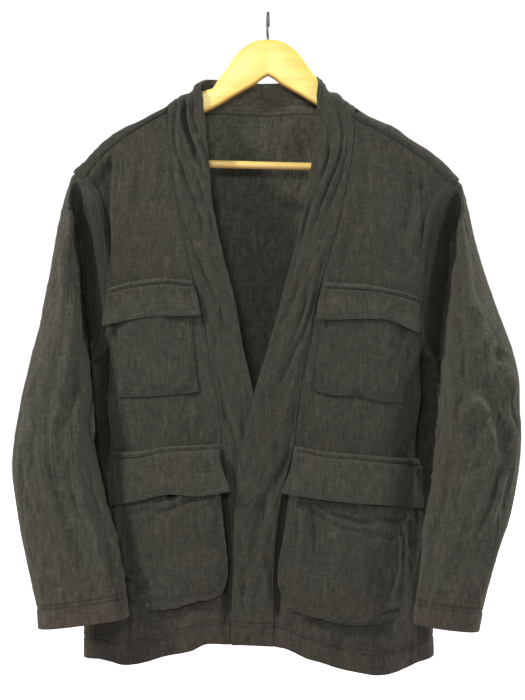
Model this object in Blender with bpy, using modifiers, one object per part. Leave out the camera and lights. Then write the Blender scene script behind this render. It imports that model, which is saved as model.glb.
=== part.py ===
"""Collarless four-pocket jacket hanging on a wooden hanger.

Metres, +Z up. The front of the jacket faces -Y, and the wearer's left is +X.
The origin is the point inside the hook where a rail carries the hanger.

The body's cloth is one surface over the hanger, given by x across the jacket
and p, the way down over the shoulder fold: p = 0 is the shoulder line, it
grows down the back and is negative down the front. Fronts, back, bands,
pockets and flaps are cut from that surface, and Solidify gives each its wall,
away from the hanger.
"""

import math

import bmesh
import bpy
import numpy as np
from mathutils import Matrix, Vector

MM = 0.001

# ------------------------------------------------------------------ sizes
CLOTH = 2.0 * MM            # wall of one layer of the wool cloth
BAND_CLOTH = 3.0 * MM       # the front band is folded double
SEAM = 0.3 * MM             # gap between two pieces that are sewn together
ROLL = 10.0 * MM            # radius of the fold of cloth over the hanger
LAP = 5.2 * MM              # how far the left front stands over the right one
SEWN = 0.8 * MM             # gap under a pocket or flap laid on a front
UNDERARM_Z = -452.0 * MM
SPLIT = 0.455               # share of the back's length that lies above the underarm

FRONT_COLUMNS = 8           # divisions of the cloth's grids
ARMHOLE_ROWS = 10
SIDE_ROWS = 14
NECK_COLUMNS = 4
CROSSING_COLUMNS = 6
BACK_STEPS = (5, 5, 5, 5, 5, 6, 10, 18, 26, 32, 36, 38, 36, 32, 26, 16)
BACK_SIDE_ROWS = 10

WOOD_THICK = 13.0 * MM
WOOD_ROUND = 5.0 * MM
WOOD_CLEAR = 3.6 * MM        # from the wood's top edge to the shoulder fold
WOOD_END = 196.0 * MM
BAR_RADIUS = 4.9 * MM
BAR_Z = -196.5 * MM
BAR_HALF = 184.0 * MM
BAR_DROP = 4.5 * MM         # how much lower the bar is at its left end than in the middle
HOOK_WIRE = 3.2 * MM
HOOK_BEND = 14.6 * MM       # radius of the hook's round, to the wire's middle
HOOK_TURN = math.radians(11)
HOOK_SHANK = 16.0 * MM      # depth of the shank's hole in the wood
FIT = 0.2 * MM              # room round the bar and the shank in their holes

RIGHT, LEFT = -1, 1         # the wearer's sides, as the sign of x


def table(columns, *rows):
    """Rows of millimetres as one array for each named column."""
    values = np.array(rows, float) * MM
    return {name: values[:, i] for i, name in enumerate(columns.split())}


# Shoulder line: height of the fold over the hanger, by distance from x = 0.
SHOULDER = {
    RIGHT: table("out z",
                 (0, -91), (60, -91), (95, -101), (121, -117.5), (147, -130.5),
                 (173, -143.5), (199, -158), (212, -166), (225, -178.5),
                 (238, -193), (251, -206), (262, -224)),
    LEFT: table("out z",
                (0, -91), (60, -91), (87, -104.5), (113, -124), (139, -137),
                (165, -151.5), (191, -167), (204, -175.5), (217, -186.5),
                (230, -197.5), (247, -216), (256, -228)),
}
SHOULDER_TIP = {RIGHT: (251 * MM, -206 * MM), LEFT: (247 * MM, -216 * MM)}

# How far the cloth stands from the hanger, by depth below the shoulder line.
FALL = table("below front back",
             (10, 10, 10), (22, 12.5, 14), (40, 18, 17.5), (70, 28, 24),
             (110, 39, 33), (160, 49, 41), (230, 57, 47), (310, 62, 51),
             (420, 66, 56), (540, 67, 60), (640, 64, 63), (760, 60, 64))
# Half width of the body at its side seam, and how square its section is there
# (2 is an ellipse), by height.
SIDE = {
    RIGHT: table("z half", (-850, 238), (-700, 236), (-600, 234), (-500, 231),
                 (-452, 228), (-380, 230), (-300, 241), (-200, 266), (-80, 280)),
    LEFT: table("z half", (-850, 212), (-700, 216), (-600, 219), (-500, 221),
                (-452, 220), (-380, 223), (-300, 233), (-200, 262), (-80, 276)),
}
SQUARE = table("z power", (-850, 2500), (-620, 2400), (-520, 2500), (-452, 2900),
               (-380, 3500), (-300, 3900), (-200, 4000), (-80, 4000))

# Armhole seams on the front and the back face, from the underarm to the tip
# of the shoulder.
ARMHOLE = {
    (RIGHT, "front"): table("z out", (-452, 228), (-446, 219), (-432, 211),
                            (-405, 205), (-373, 204), (-322, 206), (-283, 211),
                            (-245, 220), (-222, 234), (-206, 251)),
    (LEFT, "front"): table("z out", (-452, 220), (-446, 211), (-432, 203),
                           (-405, 198), (-378, 196), (-345, 197), (-311, 200),
                           (-278, 205), (-249, 215), (-229, 231), (-216, 247)),
    (RIGHT, "back"): table("z out", (-452, 228), (-446, 222), (-432, 217),
                           (-400, 213), (-350, 214), (-290, 222), (-245, 234),
                           (-206, 251)),
    (LEFT, "back"): table("z out", (-452, 220), (-446, 214), (-432, 209),
                          (-400, 206), (-350, 208), (-290, 216), (-250, 230),
                          (-216, 247)),
}
# Forward shoulder seam: where it starts at the band and ends at the armhole.
FORWARD = {RIGHT: {"neck_z": -128.5 * MM, "tip_z": -217 * MM},
           LEFT: {"neck_z": -137 * MM, "tip_z": -223 * MM}}

# Band on the chest: x of its seam and of its free edge, by height.
BAND = {
    RIGHT: table("z seam free",
                 (-860, -45, 0), (-700, -47, 0), (-625, -50, -1),
                 (-562, -57, -6), (-497, -64, -18), (-436, -75, -32),
                 (-379, -85, -42), (-328, -99, -55), (-264, -112, -69),
                 (-196, -124, -76), (-150, -129, -81), (-120, -131, -85)),
    LEFT: table("z seam free",
                (-860, 7, -46), (-700, 8, -43), (-625, 16, -40),
                (-562, 31, -33), (-493, 39, -17), (-430, 51, 2),
                (-360, 65, 21), (-283, 87, 41), (-200, 105, 56),
                (-150, 111.5, 63), (-137, 112.7, 63.5), (-120, 113.5, 64)),
}
# Band round the neck, from the middle of the back to the chest: its seam on
# the body's cloth, as x and p, and its free edge.
NECK = {
    RIGHT: table("seam_x seam_p free_x free_y free_z",
                 (-9, 45, -9, 14, -89), (-45, 44, -37, 14, -88),
                 (-85, 37, -60, 13, -85), (-112, 21, -73, 11, -84.5),
                 (-126, 8, -82, 5, -87), (-130.5, -2, -86.5, -4, -92),
                 (-131, -9, -87, -13, -101)),
    LEFT: table("seam_x seam_p free_x free_y free_z",
                (-9, 45, -9, 14, -89), (27, 44, 18, 14, -88),
                (67, 41, 42, 13, -84), (95, 24, 55, 11, -81.5),
                 (108, 9, 62, 5, -83), (113, -3, 65, -4, -87),
                 (113.3, -13, 65, -13, -97)),
}

# Hem heights of the fronts and of the back, by x.
HEM = table("x front back",
            (-238, -832, -832), (-204, -834, -833), (-180, -834, -833),
            (-155, -829, -831), (-130, -822, -828), (-98, -814, -826),
            (-79, -806, -824), (-45, -806, -823), (5, -808, -822),
            (25, -812, -823), (43, -821, -826), (65, -828, -829),
            (94, -838, -833), (132, -845, -838), (166, -844, -841),
            (187, -841, -841), (199, -837, -838), (212, -830, -830))

LOW_OUT = {RIGHT: -832 * MM, LEFT: -830 * MM}     # hem height at the side seams
LOW_IN = {RIGHT: -806 * MM, LEFT: -808 * MM}      # and at the band seams

# Soft folds of the fronts and the back: each runs from (x0, z0) to (x1, z1).
# A fold with a positive depth sinks in, and a negative one stands out.
FOLDS = {
    "front": table("x0 z0 x1 z1 wide deep",
                   (-188, -205, -192, -262, 10, 5), (-176, -205, -182, -300, 16, -3),
                   (-92, -770, -100, -832, 16, -5),
                   (62, -790, 66, -840, 18, -4), (128, -770, 140, -850, 26, -5),
                   (-158, -760, -170, -838, 26, -5), (118, -170, 96, -300, 18, -2),
                   (182, -230, 178, -340, 12, 4)),
    "back": table("x0 z0 x1 z1 wide deep",
                  (-120, -520, -150, -830, 34, 9), (-20, -470, 8, -830, 40, -8),
                  (110, -500, 132, -830, 32, 9), (-60, -240, -40, -420, 30, 4),
                  (60, -230, 70, -400, 26, 4)),
}

# Sleeves: outer and inner edge of the tube as seen from the front, the depth
# of its middle, its half depths in front and behind, and how far its front
# leans over towards the body. One row for each ring, from armhole to cuff.
SLEEVE = {
    RIGHT: table("outer z_outer inner z_inner mid front back lean",
                 (252, -208, 233, -456, 0, 40, 40, 0),
                 (259, -222, 237, -463, 0, 9, 22, 7),
                 (266, -245, 239, -474, -5, 24, 27, 11),
                 (272, -280, 238, -490, -14, 38, 31, 15),
                 (283, -350, 233, -514, -28, 47, 36, 16),
                 (299, -430, 225, -542, -44, 46, 38, 9),
                 (312, -493, 216, -569, -55, 44, 38, 2),
                 (320, -550, 208, -602, -63, 42, 37, 0),
                 (320, -590, 201, -636, -69, 40, 37, 0),
                 (311, -655, 190, -672, -75, 38, 36, 0),
                 (298, -715, 182, -712, -80, 35, 33, 0),
                 (289, -755, 176, -742, -84, 32, 30, 0),
                 (286, -781, 172, -766, -86, 30, 28, 0)),
    LEFT: table("outer z_outer inner z_inner mid front back lean",
                (248, -218, 225, -456, 0, 40, 40, 0),
                (255, -232, 229, -463, 0, 9, 22, 7),
                (261, -257, 231, -474, -5, 24, 27, 11),
                (269, -298, 230, -490, -14, 38, 31, 14),
                (285, -356, 226, -514, -28, 47, 36, 17),
                (303, -412, 217, -542, -44, 46, 38, 14),
                (315, -456, 210, -569, -55, 44, 38, 5),
                (317, -505, 205, -600, -63, 42, 37, 0),
                (316, -562, 199, -634, -69, 40, 37, 0),
                (305, -632, 193, -670, -75, 38, 36, 0),
                (286, -690, 189, -711, -80, 35, 33, 0),
                (270, -742, 184, -745, -84, 32, 30, 0),
                (262, -784, 181, -774, -86, 30, 28, 0)),
}
SLEEVE_SQUARE = 2.3
# A sleeve's edge against the body's cloth: its rise from the cloth's inner side
# and its distance from the cloth's edge, from the armhole's side (low 0) to the
# underarm (low 1). It lies under a front and beside the back.
SEWN_IN = {
    "front": table("low lift away", (0, -0.3, -1), (0.1, -0.3, -0.8), (0.25, -0.3, 1.2),
                   (1, 2, 2.5)),
    "back": table("low lift away", (0, 2, 2.6), (1, 2, 2)),
}
# Folds of the sleeves: start and end as turns round the tube (0 outer edge,
# 0.25 front, 0.5 inner edge) and shares of its length, width in shares, and
# depth in millimetres.
SLEEVE_FOLDS = {
    RIGHT: ((0.07, 0.36, 0.05, 0.62, 0.035, 4.0), (0.22, 0.48, 0.30, 0.86, 0.050, 3.5),
            (0.90, 0.30, 0.80, 0.80, 0.060, 4.5)),
    LEFT: ((0.06, 0.42, 0.24, 0.56, 0.036, 7.0), (0.06, 0.58, 0.26, 0.64, 0.036, 6.0),
           (0.26, 0.42, 0.22, 0.86, 0.036, -4.0), (0.90, 0.30, 0.82, 0.80, 0.060, 4.5)),
}

# Pockets and flaps on the front panels: corners as (x, z).
CHEST_POCKET = {
    RIGHT: {"top_outer": (-194, -367), "top_inner": (-99, -361),
            "low_outer": (-188, -496), "low_inner": (-88, -489)},
    LEFT: {"top_outer": (182, -379), "top_inner": (71, -363),
           "low_outer": (168, -502), "low_inner": (57, -489)},
}
CHEST_FLAP = {
    RIGHT: {"top_outer": (-199, -353), "top_inner": (-99, -348),
            "low_outer": (-200, -401), "low_inner": (-87, -391)},
    LEFT: {"top_outer": (187, -367), "top_inner": (72, -350),
           "low_outer": (182, -413), "low_inner": (63, -398)},
}
HIP_POCKET = {
    RIGHT: {"top_outer": (-193, -582), "top_inner": (-60, -572),
            "low_outer": (-184, -752), "low_inner": (-50, -741)},
    LEFT: {"top_outer": (184, -592), "top_inner": (32, -573),
           "low_outer": (182, -771), "low_inner": (12, -759)},
}
HIP_FLAP = {
    RIGHT: {"top_outer": (-201, -568), "top_inner": (-63, -556),
            "low_outer": (-199, -630), "low_inner": (-50, -611)},
    LEFT: {"top_outer": (194, -577), "top_inner": (34, -557),
           "low_outer": (194, -637), "low_inner": (18, -612)},
}
CHEST_BULGE = 2.5 * MM
HIP_BULGE = 15.0 * MM       # depth of the bellows on its inner side
HIP_BULGE_OUTER = 4.0 * MM  # and on the side where the sleeve lies
RIM = 0.1                   # share of a pocket over which its edge rises
HIP_CORNER = 0.09           # share of the width lost at its round corners
HIP_SAG = 9.0 * MM          # how far its lower edge hangs down in the middle

# Wooden hanger: lower edge of its arm, and top edge up to the shoulder fold,
# by distance from the middle.
WOOD_LOW = table("out z", (0, -80), (8, -83), (66, -117), (90, -131),
                 (120, -148), (150, -169), (172, -190), (186, -203), (196, -205))
WOOD_TOP = table("out z", (0, -33.4), (12, -35), (24, -41), (36, -53),
                 (46, -66), (56, -79), (64, -87), (72, -93))


# ---------------------------------------------------------------- helpers
def follow(keys, values, at):
    """Smooth curve through a table's rows, with Catmull-Rom slopes, level past both ends."""
    if keys[0] > keys[-1]:
        keys, values = keys[::-1], values[::-1]
    steps = np.diff(keys)
    slope = np.empty_like(values)
    slope[1:-1] = (values[2:] - values[:-2]) / (keys[2:] - keys[:-2])
    slope[0] = (values[1] - values[0]) / steps[0]
    slope[-1] = (values[-1] - values[-2]) / steps[-1]
    at = np.clip(at, keys[0], keys[-1])
    i = np.clip(np.searchsorted(keys, at) - 1, 0, len(steps) - 1)
    h = steps[i]
    t = (at - keys[i]) / h
    return (values[i] * (1 + 2 * t) * (1 - t) ** 2 + h * slope[i] * t * (1 - t) ** 2
            + values[i + 1] * t * t * (3 - 2 * t) + h * slope[i + 1] * t * t * (t - 1))


def along(rows, t):
    """Every column of a table at shares t of its rows."""
    place = np.linspace(0, 1, len(next(iter(rows.values()))))
    return {name: follow(place, values, t) for name, values in rows.items()}


def ease(t):
    """0 to 1 with level ends."""
    t = np.clip(t, 0, 1)
    return t * t * (3 - 2 * t)


def sided(x, tables, key, value, at_right, at_left):
    """A table's value, from the right side's rows where x is negative, else the left side's."""
    return np.where(x < 0, follow(tables[RIGHT][key], tables[RIGHT][value], at_right),
                    follow(tables[LEFT][key], tables[LEFT][value], at_left))


def grid(columns, rows):
    """Shares from 0 to 1: u across and v down."""
    return np.meshgrid(np.linspace(0, 1, columns + 1), np.linspace(0, 1, rows + 1),
                       indexing="ij")


# ----------------------------------------------------- the body's surface
def shoulder_z(x):
    """Height of the shoulder line over x."""
    return sided(x, SHOULDER, "out", "z", -x, x)


def side_profile(x, z):
    """1 over the middle of the body, falling to 0 at the side seam, as a squared ellipse."""
    half = sided(x, SIDE, "z", "half", z, z)
    power = follow(SQUARE["z"], SQUARE["power"], z)
    share = np.clip(np.abs(x) / half, 0, 1)
    return (1 - share ** power) ** (1 / power)


def fold_depth(face, x, z):
    """The face's soft folds: a bell across each fold's line, fading at its ends."""
    total = np.zeros(np.broadcast(x, z).shape)
    for x0, z0, x1, z1, wide, deep in zip(*FOLDS[face].values()):
        run = np.array([x1 - x0, z1 - z0])
        t = np.clip(((x - x0) * run[0] + (z - z0) * run[1]) / (run @ run), 0, 1)
        away = np.hypot(x - x0 - t * run[0], z - z0 - t * run[1])
        total += deep * np.exp(-(away / wide) ** 2)
    return total


def lap(x, z):
    """How far the left front is carried out, to lie over the right one."""
    return LAP * ease((70 * MM - x) / (60 * MM)) * ease((-370 * MM - z) / (70 * MM))


def body_y(face, x, z, left_front=False):
    """Inner side of the cloth: a roll over the hanger, then the fall, rounded to the side seam."""
    below = np.maximum(shoulder_z(x) - z, 0)
    roll = np.sqrt(np.maximum(ROLL ** 2 - (ROLL - np.minimum(below, ROLL)) ** 2, 0))
    depth = np.where(below < ROLL, roll, follow(FALL["below"], FALL[face], below))
    profile = side_profile(x, z)
    fade = ease((below - ROLL) / (40 * MM)) * ease(profile * 2 - 0.8)
    y = depth * profile - fold_depth(face, x, z) * fade
    if left_front:
        y = y + lap(x, z)
    return -y if face == "front" else y


def way(below):
    """The way p over the fold that reaches a depth below the shoulder line."""
    in_roll = ROLL * np.arccos(np.clip(1 - below / ROLL, -1, 1))
    return np.where(below < ROLL, in_roll, below - ROLL + ROLL * math.pi / 2)


def body_points(flat, lift=0.0):
    """Points of the body's cloth from an array of (x, p), moved out by lift."""
    def surface(x, p):
        turn = np.minimum(np.abs(p) / ROLL, math.pi / 2)
        below = ROLL * (1 - np.cos(turn)) + np.maximum(np.abs(p) - ROLL * math.pi / 2, 0)
        z = shoulder_z(x) - below
        y = np.where(p < 0, body_y("front", x, z), body_y("back", x, z))
        return np.stack([x, y, z], -1)

    x, p = flat[..., 0], flat[..., 1]
    if not lift:
        return surface(x, p)
    step = MM
    normal = np.cross(surface(x + step, p) - surface(x - step, p),
                      surface(x, p + step) - surface(x, p - step))
    return surface(x, p) + lift * normal / np.linalg.norm(normal, axis=-1)[..., None]


def front_points(side, x, z, lift=0.0):
    """Points of a front at (x, z), moved out from the cloth's inner side by lift."""
    def surface(px, pz):
        return body_y("front", px, pz, side == LEFT)

    step = 2 * MM
    slope_x = (surface(x + step, z) - surface(x - step, z)) / (2 * step)
    slope_z = (surface(x, z + step) - surface(x, z - step)) / (2 * step)
    length = np.sqrt(1 + slope_x ** 2 + slope_z ** 2)
    return np.stack([x + lift * slope_x / length, surface(x, z) - lift / length,
                     z + lift * slope_z / length], -1)


# ------------------------------------------------------------- the pieces
def armhole_x(side, face, z):
    return side * follow(ARMHOLE[side, face]["z"], ARMHOLE[side, face]["out"], z)


def side_x(side, z):
    return side * follow(SIDE[side]["z"], SIDE[side]["half"], z)


def hem_z(face, x):
    return follow(HEM["x"], HEM[face], x)


def band_x(side, edge, z):
    return follow(BAND[side]["z"], BAND[side][edge], z)


def forward_seam(side, t):
    """Forward shoulder seam as (x, z), from the band to the armhole."""
    z0, z1 = FORWARD[side]["neck_z"], FORWARD[side]["tip_z"]
    x0, x1 = band_x(side, "seam", z0), armhole_x(side, "front", z1)
    x = x0 + (x1 - x0) * t
    drop0, drop1 = shoulder_z(x0) - z0, shoulder_z(x1) - z1
    return x, shoulder_z(x) - drop0 - (drop1 - drop0) * t ** 2


def front_shares():
    """Columns of a front, closer together towards the side."""
    u = np.linspace(0, 1, FRONT_COLUMNS + 1)
    return 0.35 * u + 0.65 * np.sin(u * math.pi / 2)


def front_outer(side):
    """Armhole and side seam of a front as (x, z), row by row."""
    tip = FORWARD[side]["tip_z"] - SEAM
    t = np.linspace(0, 1, ARMHOLE_ROWS + 1)
    arm = tip + (UNDERARM_Z - tip) * (0.5 * t + 0.5 * np.sin(t * math.pi / 2))
    low = np.linspace(UNDERARM_Z, LOW_OUT[side], SIDE_ROWS + 1)[1:]
    z = np.concatenate([arm, low])
    return np.where(z >= UNDERARM_Z, armhole_x(side, "front", z), side_x(side, z)), z


def front_inner(side):
    """Band seam of a front as (x, z), row by row."""
    rows = ARMHOLE_ROWS + SIDE_ROWS
    z = np.linspace(FORWARD[side]["neck_z"] - SEAM, LOW_IN[side], rows + 1)
    return band_x(side, "seam", z), z


def front_panel(side):
    """Front: a Coons patch between its band seam, outer seams, shoulder seam and hem."""
    first = np.stack(front_inner(side), -1)[None]
    last = np.stack(front_outer(side), -1)[None]
    u = front_shares()[:, None, None]
    v = np.linspace(0, 1, first.shape[1])[None, :, None]
    x, z = forward_seam(side, u[..., 0])
    top = np.stack([x, z - SEAM], -1)
    x = first[0, -1, 0] + (last[0, -1, 0] - first[0, -1, 0]) * u[..., 0]
    bottom = np.stack([x, hem_z("front", x)], -1)
    corners = ((1 - u) * (1 - v) * top[:1] + u * (1 - v) * top[-1:]
               + (1 - u) * v * bottom[:1] + u * v * bottom[-1:])
    flat = (1 - u) * first + u * last + (1 - v) * top + v * bottom - corners
    points = front_points(side, flat[..., 0], flat[..., 1])
    points[..., 1] -= SEAM / 2
    return points


NECK_REACH = 0.42           # share of the neck's rows that lies across the back


def neck_shares():
    """Places round the neck: evenly across the back, then over the shoulder."""
    across = np.linspace(0, NECK_REACH, NECK_COLUMNS + 1)
    over = np.linspace(NECK_REACH, 1, CROSSING_COLUMNS + 1)
    return np.concatenate([across, over[1:]])


def back_rows():
    """Shares down the back: close over the shoulder fold, then wider."""
    upper = np.concatenate([[0], np.cumsum(BACK_STEPS) / np.sum(BACK_STEPS)]) * SPLIT
    return np.concatenate([upper, np.linspace(SPLIT, 1, BACK_SIDE_ROWS + 1)[1:]])


def back_outer(side, v):
    """Armhole and side seam of the back as (x, p), with v in step with the way down."""
    tip_z, top_z = FORWARD[side]["tip_z"], SHOULDER_TIP[side][1]
    over = -way(shoulder_z(armhole_x(side, "front", tip_z)) - tip_z)
    under = way(shoulder_z(side_x(side, UNDERARM_Z)) - UNDERARM_Z)
    low = way(shoulder_z(side_x(side, LOW_OUT[side])) - LOW_OUT[side])
    p = np.where(v < SPLIT, over + (under - over) * v / SPLIT,
                 under + (low - under) * (v - SPLIT) / (1 - SPLIT))
    z_front = top_z + (tip_z - top_z) * p / over
    z_arm = top_z + (UNDERARM_Z - top_z) * np.clip(p / under, 0, 1)
    z_side = UNDERARM_Z + (LOW_OUT[side] - UNDERARM_Z) * (p - under) / (low - under)
    z = np.where(p < 0, z_front, np.where(v < SPLIT, z_arm, z_side))
    x = np.where(p < 0, armhole_x(side, "front", z),
                 np.where(v < SPLIT, armhole_x(side, "back", z), side_x(side, z)))
    return x, way(np.maximum(shoulder_z(x) - z, 0)) * np.sign(p)


def back_half(side, v):
    """One side of the back as (x, p), from the middle to its outer seams.

    Columns leave the neck and the forward seam and fan out at once to their
    places at the hem, so that they run away from the neck's steep side.
    """
    neck = along(NECK[side], neck_shares())
    seam_x, seam_z = forward_seam(side, front_shares()[1:])
    x0 = np.concatenate([neck["seam_x"][:-1], [band_x(side, "seam", FORWARD[side]["neck_z"])],
                         seam_x])
    corner = way(shoulder_z(x0[-len(seam_x) - 1]) - FORWARD[side]["neck_z"])
    p0 = np.concatenate([neck["seam_p"][:-1], [-corner], -way(shoulder_z(seam_x) - seam_z)])
    counts = np.cumsum([0, NECK_COLUMNS, CROSSING_COLUMNS, FRONT_COLUMNS])
    last = side_x(side, LOW_OUT[side])
    x1 = np.interp(np.arange(counts[-1] + 1), counts, [x0[0], last * 0.44, last * 0.64, last])
    p1 = way(shoulder_z(x1) - hem_z("back", x1))
    share = np.interp(np.arange(counts[-1] + 1), counts, [0, 0.3, 0.5, 1])[:, None]
    x0, p0, x1, p1, v = x0[:, None], p0[:, None], x1[:, None], p1[:, None], v[None]
    fan = 1 - (1 - v) ** 4
    edge_x, edge_p = back_outer(side, v)
    x = x0 + (x1 - x0) * fan + (edge_x - x0[-1] - (x1[-1] - x0[-1]) * fan) * share ** 3
    p = p0 + (p1 - p0) * v + (edge_p - p0[-1] - (p1[-1] - p0[-1]) * v) * share ** 3
    return np.stack([x, p], -1)


def back_panel():
    """Back with its yoke: forward seams and neck to hem, armhole and side seams beside it."""
    v = back_rows()
    flat = np.concatenate([back_half(RIGHT, v)[::-1], back_half(LEFT, v)[1:]])
    points = body_points(flat)
    points[..., 1] += np.where(flat[..., 1] > 0, SEAM / 2, 0) * ease(v * 8)
    return points


def band(side, across=5):
    """Band: round the neck from the middle of the back, then down the chest to the hem."""
    u, t = np.meshgrid(np.linspace(0, 1, across + 1), neck_shares(), indexing="ij")
    rows = along(NECK[side], t)
    seam = body_points(np.stack([rows["seam_x"], rows["seam_p"]], -1))
    free = np.stack([rows["free_x"], rows["free_y"], rows["free_z"]], -1)
    neck = seam + (free - seam) * u[..., None]
    out = np.sin(u * math.pi) ** 2 * 3 * MM
    neck[..., 1] += out * np.cos(np.clip(t * 1.6, 0, 1) * math.pi / 2)
    neck[..., 2] += out * np.sin(np.clip(t * 1.3, 0, 1) * math.pi / 2)
    neck[..., 0] += np.where(t == 0, side * SEAM / 2, 0)

    x_seam, z_seam = front_inner(side)
    z_free = np.linspace(rows["free_z"][0, -1] - 12 * MM, LOW_IN[RIGHT], len(z_seam))
    x_free = band_x(side, "free", z_free)
    u = np.linspace(0, 1, across + 1)[:, None]
    chest = front_points(side, x_seam + (x_free - x_seam) * u, z_seam + (z_free - z_seam) * u)
    points = np.concatenate([neck, chest], 1)
    inward = points[-1] - points[0]
    inward /= np.linalg.norm(inward, axis=-1)[:, None]
    gap = np.full(points.shape[1], SEAM)
    gap[:NECK_COLUMNS] = 2 * SEAM
    gap[NECK_COLUMNS:NECK_COLUMNS + CROSSING_COLUMNS + 1] = 4 * SEAM
    points[0] += inward * gap[:, None]
    return points


def armhole_ring(side):
    """Armhole seam as (x, p, z): down the front to the underarm, then up the back."""
    x, z = front_outer(side)
    x, z = x[:ARMHOLE_ROWS + 1], z[:ARMHOLE_ROWS + 1]
    front = np.stack([x, -way(shoulder_z(x) - z), z], -1)
    v = back_rows()[[2, 4, *range(6, len(BACK_STEPS))]]
    x, p = back_outer(side, v)
    below = body_points(np.stack([x, p], -1))[:, 2]
    return np.concatenate([front, np.stack([x, p, below], -1)[::-1]])


def sleeve(side, rings=14):
    """Outer side of a sleeve: a tube through the table's rings, sewn to the armhole."""
    ring = armhole_ring(side)
    top_z = SHOULDER_TIP[side][1]
    cx = np.clip(1 - 2 * (ring[:, 2] - top_z) / (UNDERARM_Z - top_z), -1, 1)[:, None]
    face = np.where(np.arange(len(ring)) <= ARMHOLE_ROWS, 1, np.where(ring[:, 1] < 0, 1, -1))
    sy = face[:, None] * (1 - np.abs(cx) ** SLEEVE_SQUARE) ** (1 / SLEEVE_SQUARE)
    a = np.arccos(cx) / (2 * math.pi)
    a = np.where(sy < 0, 1 - a, a)

    share = np.linspace(0, 1, rings + 1)[None] ** 1.35
    rows = along(SLEEVE[side], share)
    sink = np.zeros(np.broadcast(a, share).shape)
    for a0, s0, a1, s1, wide, deep in SLEEVE_FOLDS[side]:
        run = np.array([a1 - a0, s1 - s0])
        turn = (a - a0 + 0.5) % 1 - 0.5
        t = np.clip((turn * run[0] + (share - s0) * run[1]) / (run @ run), 0, 1)
        away = np.hypot(turn - t * run[0], (share - s0 - t * run[1]) * 1.2)
        sink += deep * MM * np.exp(-(away / wide) ** 2)
    front, back = np.maximum(sy, 0), np.maximum(-sy, 0)
    half_x = (rows["outer"] - rows["inner"]) / 2
    half_z = (rows["z_outer"] - rows["z_inner"]) / 2
    underarm = ease((a - 0.34) / 0.12)
    full = 1 - ease((a - 0.02) / 0.2) + underarm
    out = ((rows["outer"] + rows["inner"]) / 2 + (half_x - sink * 0.7) * cx
           - rows["lean"] * np.sqrt(front) * (1 - underarm))
    forward = rows["front"] + np.maximum(32 * MM - rows["front"], 0) * full
    y = rows["mid"] - (forward - sink) * front + (rows["back"] - sink) * back
    z = (rows["z_outer"] + rows["z_inner"]) / 2 + half_z * cx
    tube = np.stack([side * out, y, z], -1)

    inner = body_points(ring[:, :2])
    normal = (body_points(ring[:, :2], MM) - inner) / MM
    away = np.cross(normal, np.roll(inner, -1, 0) - np.roll(inner, 1, 0)) * side
    away /= np.linalg.norm(away, axis=-1)[:, None]
    low = np.where(ring[:, 2] < -400 * MM, 1 - ease(np.abs(inner[:, 1]) / (50 * MM)), 0)
    on_back = np.arange(len(ring)) > ARMHOLE_ROWS
    lift, shift = (np.where(on_back, np.interp(low, SEWN_IN["back"]["low"] / MM, SEWN_IN["back"][key]),
                            np.interp(low, SEWN_IN["front"]["low"] / MM, SEWN_IN["front"][key]))
                   for key in ("lift", "away"))
    shift[0] = 0.8 * MM
    sewn = inner + normal * lift[:, None] + away * shift[:, None]
    w = ease(share * (len(SLEEVE[side]["mid"]) - 1))[..., None]
    return sewn[:, None] + (tube - sewn[:, None]) * w


def pocket_rise(v, u, rim_top):
    """0 at a pocket's sewn edges and 1 within."""
    sides = ease(u / RIM) * ease((1 - u) / RIM) * ease((1 - v) / RIM)
    return sides * (ease(v / RIM) if rim_top else 1)


def on_front(side, corners, columns, rows, lift, corner=0.0, arch=0.0, sag=0.0):
    """Four-cornered piece on a front panel, lifted off it by lift(u, v)."""
    u, v = grid(columns, rows)
    at = {name: np.array(point) * MM for name, point in corners.items()}
    turn = np.clip((v - 0.8) / 0.2, 0, 1)
    squeeze = corner * (1 - np.sqrt(np.maximum(1 - turn ** 2, 0))) * 2
    wide = 0.5 + (u - 0.5) * (1 - squeeze)
    top = at["top_outer"] + (at["top_inner"] - at["top_outer"]) * wide[..., None]
    low = at["low_outer"] + (at["low_inner"] - at["low_outer"]) * wide[..., None]
    flat = top + (low - top) * v[..., None]
    flat[..., 1] += (arch - sag * v ** 3) * np.sin(u * math.pi)
    return front_points(side, flat[..., 0], flat[..., 1], lift(u, v))


def chest_pocket(side, columns=8, rows=8):
    base = CLOTH + SEWN
    return on_front(side, CHEST_POCKET[side], columns, rows,
                    lambda u, v: base + CHEST_BULGE * pocket_rise(v, u, True))


def chest_flap(side, columns=8, rows=5):
    base, high = CLOTH + SEWN, CHEST_BULGE + CLOTH + 1.2 * MM
    return on_front(side, CHEST_FLAP[side], columns, rows,
                    lambda u, v: base + high * ease(v * 3.2) + 2 * MM * v * (u > 0.9),
                    arch=2.5 * MM)


def hip_pocket(side, columns=10, rows=12):
    base = CLOTH + SEWN

    def lift(u, v):
        full = HIP_BULGE_OUTER + (HIP_BULGE - HIP_BULGE_OUTER) * ease(u * 1.6)
        belly = full * (0.5 + 0.5 * ease(v * 1.8))
        return base + belly * pocket_rise(v, u, False)

    return on_front(side, HIP_POCKET[side], columns, rows, lift, HIP_CORNER, sag=HIP_SAG)


def hip_flap(side, columns=10, rows=6):
    base = CLOTH + SEWN

    def lift(u, v):
        full = HIP_BULGE_OUTER + (HIP_BULGE - HIP_BULGE_OUTER) * ease(u * 1.6)
        top = (full * 0.55 + CLOTH + 1.2 * MM) * ease(v * 4.2)
        return base + top + full * 0.4 * v

    return on_front(side, HIP_FLAP[side], columns, rows, lift, arch=3 * MM)


# ------------------------------------------------------------ Blender side
def new_collection(name):
    made = bpy.data.collections.new(name)
    bpy.context.scene.collection.children.link(made)
    return made


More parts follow.
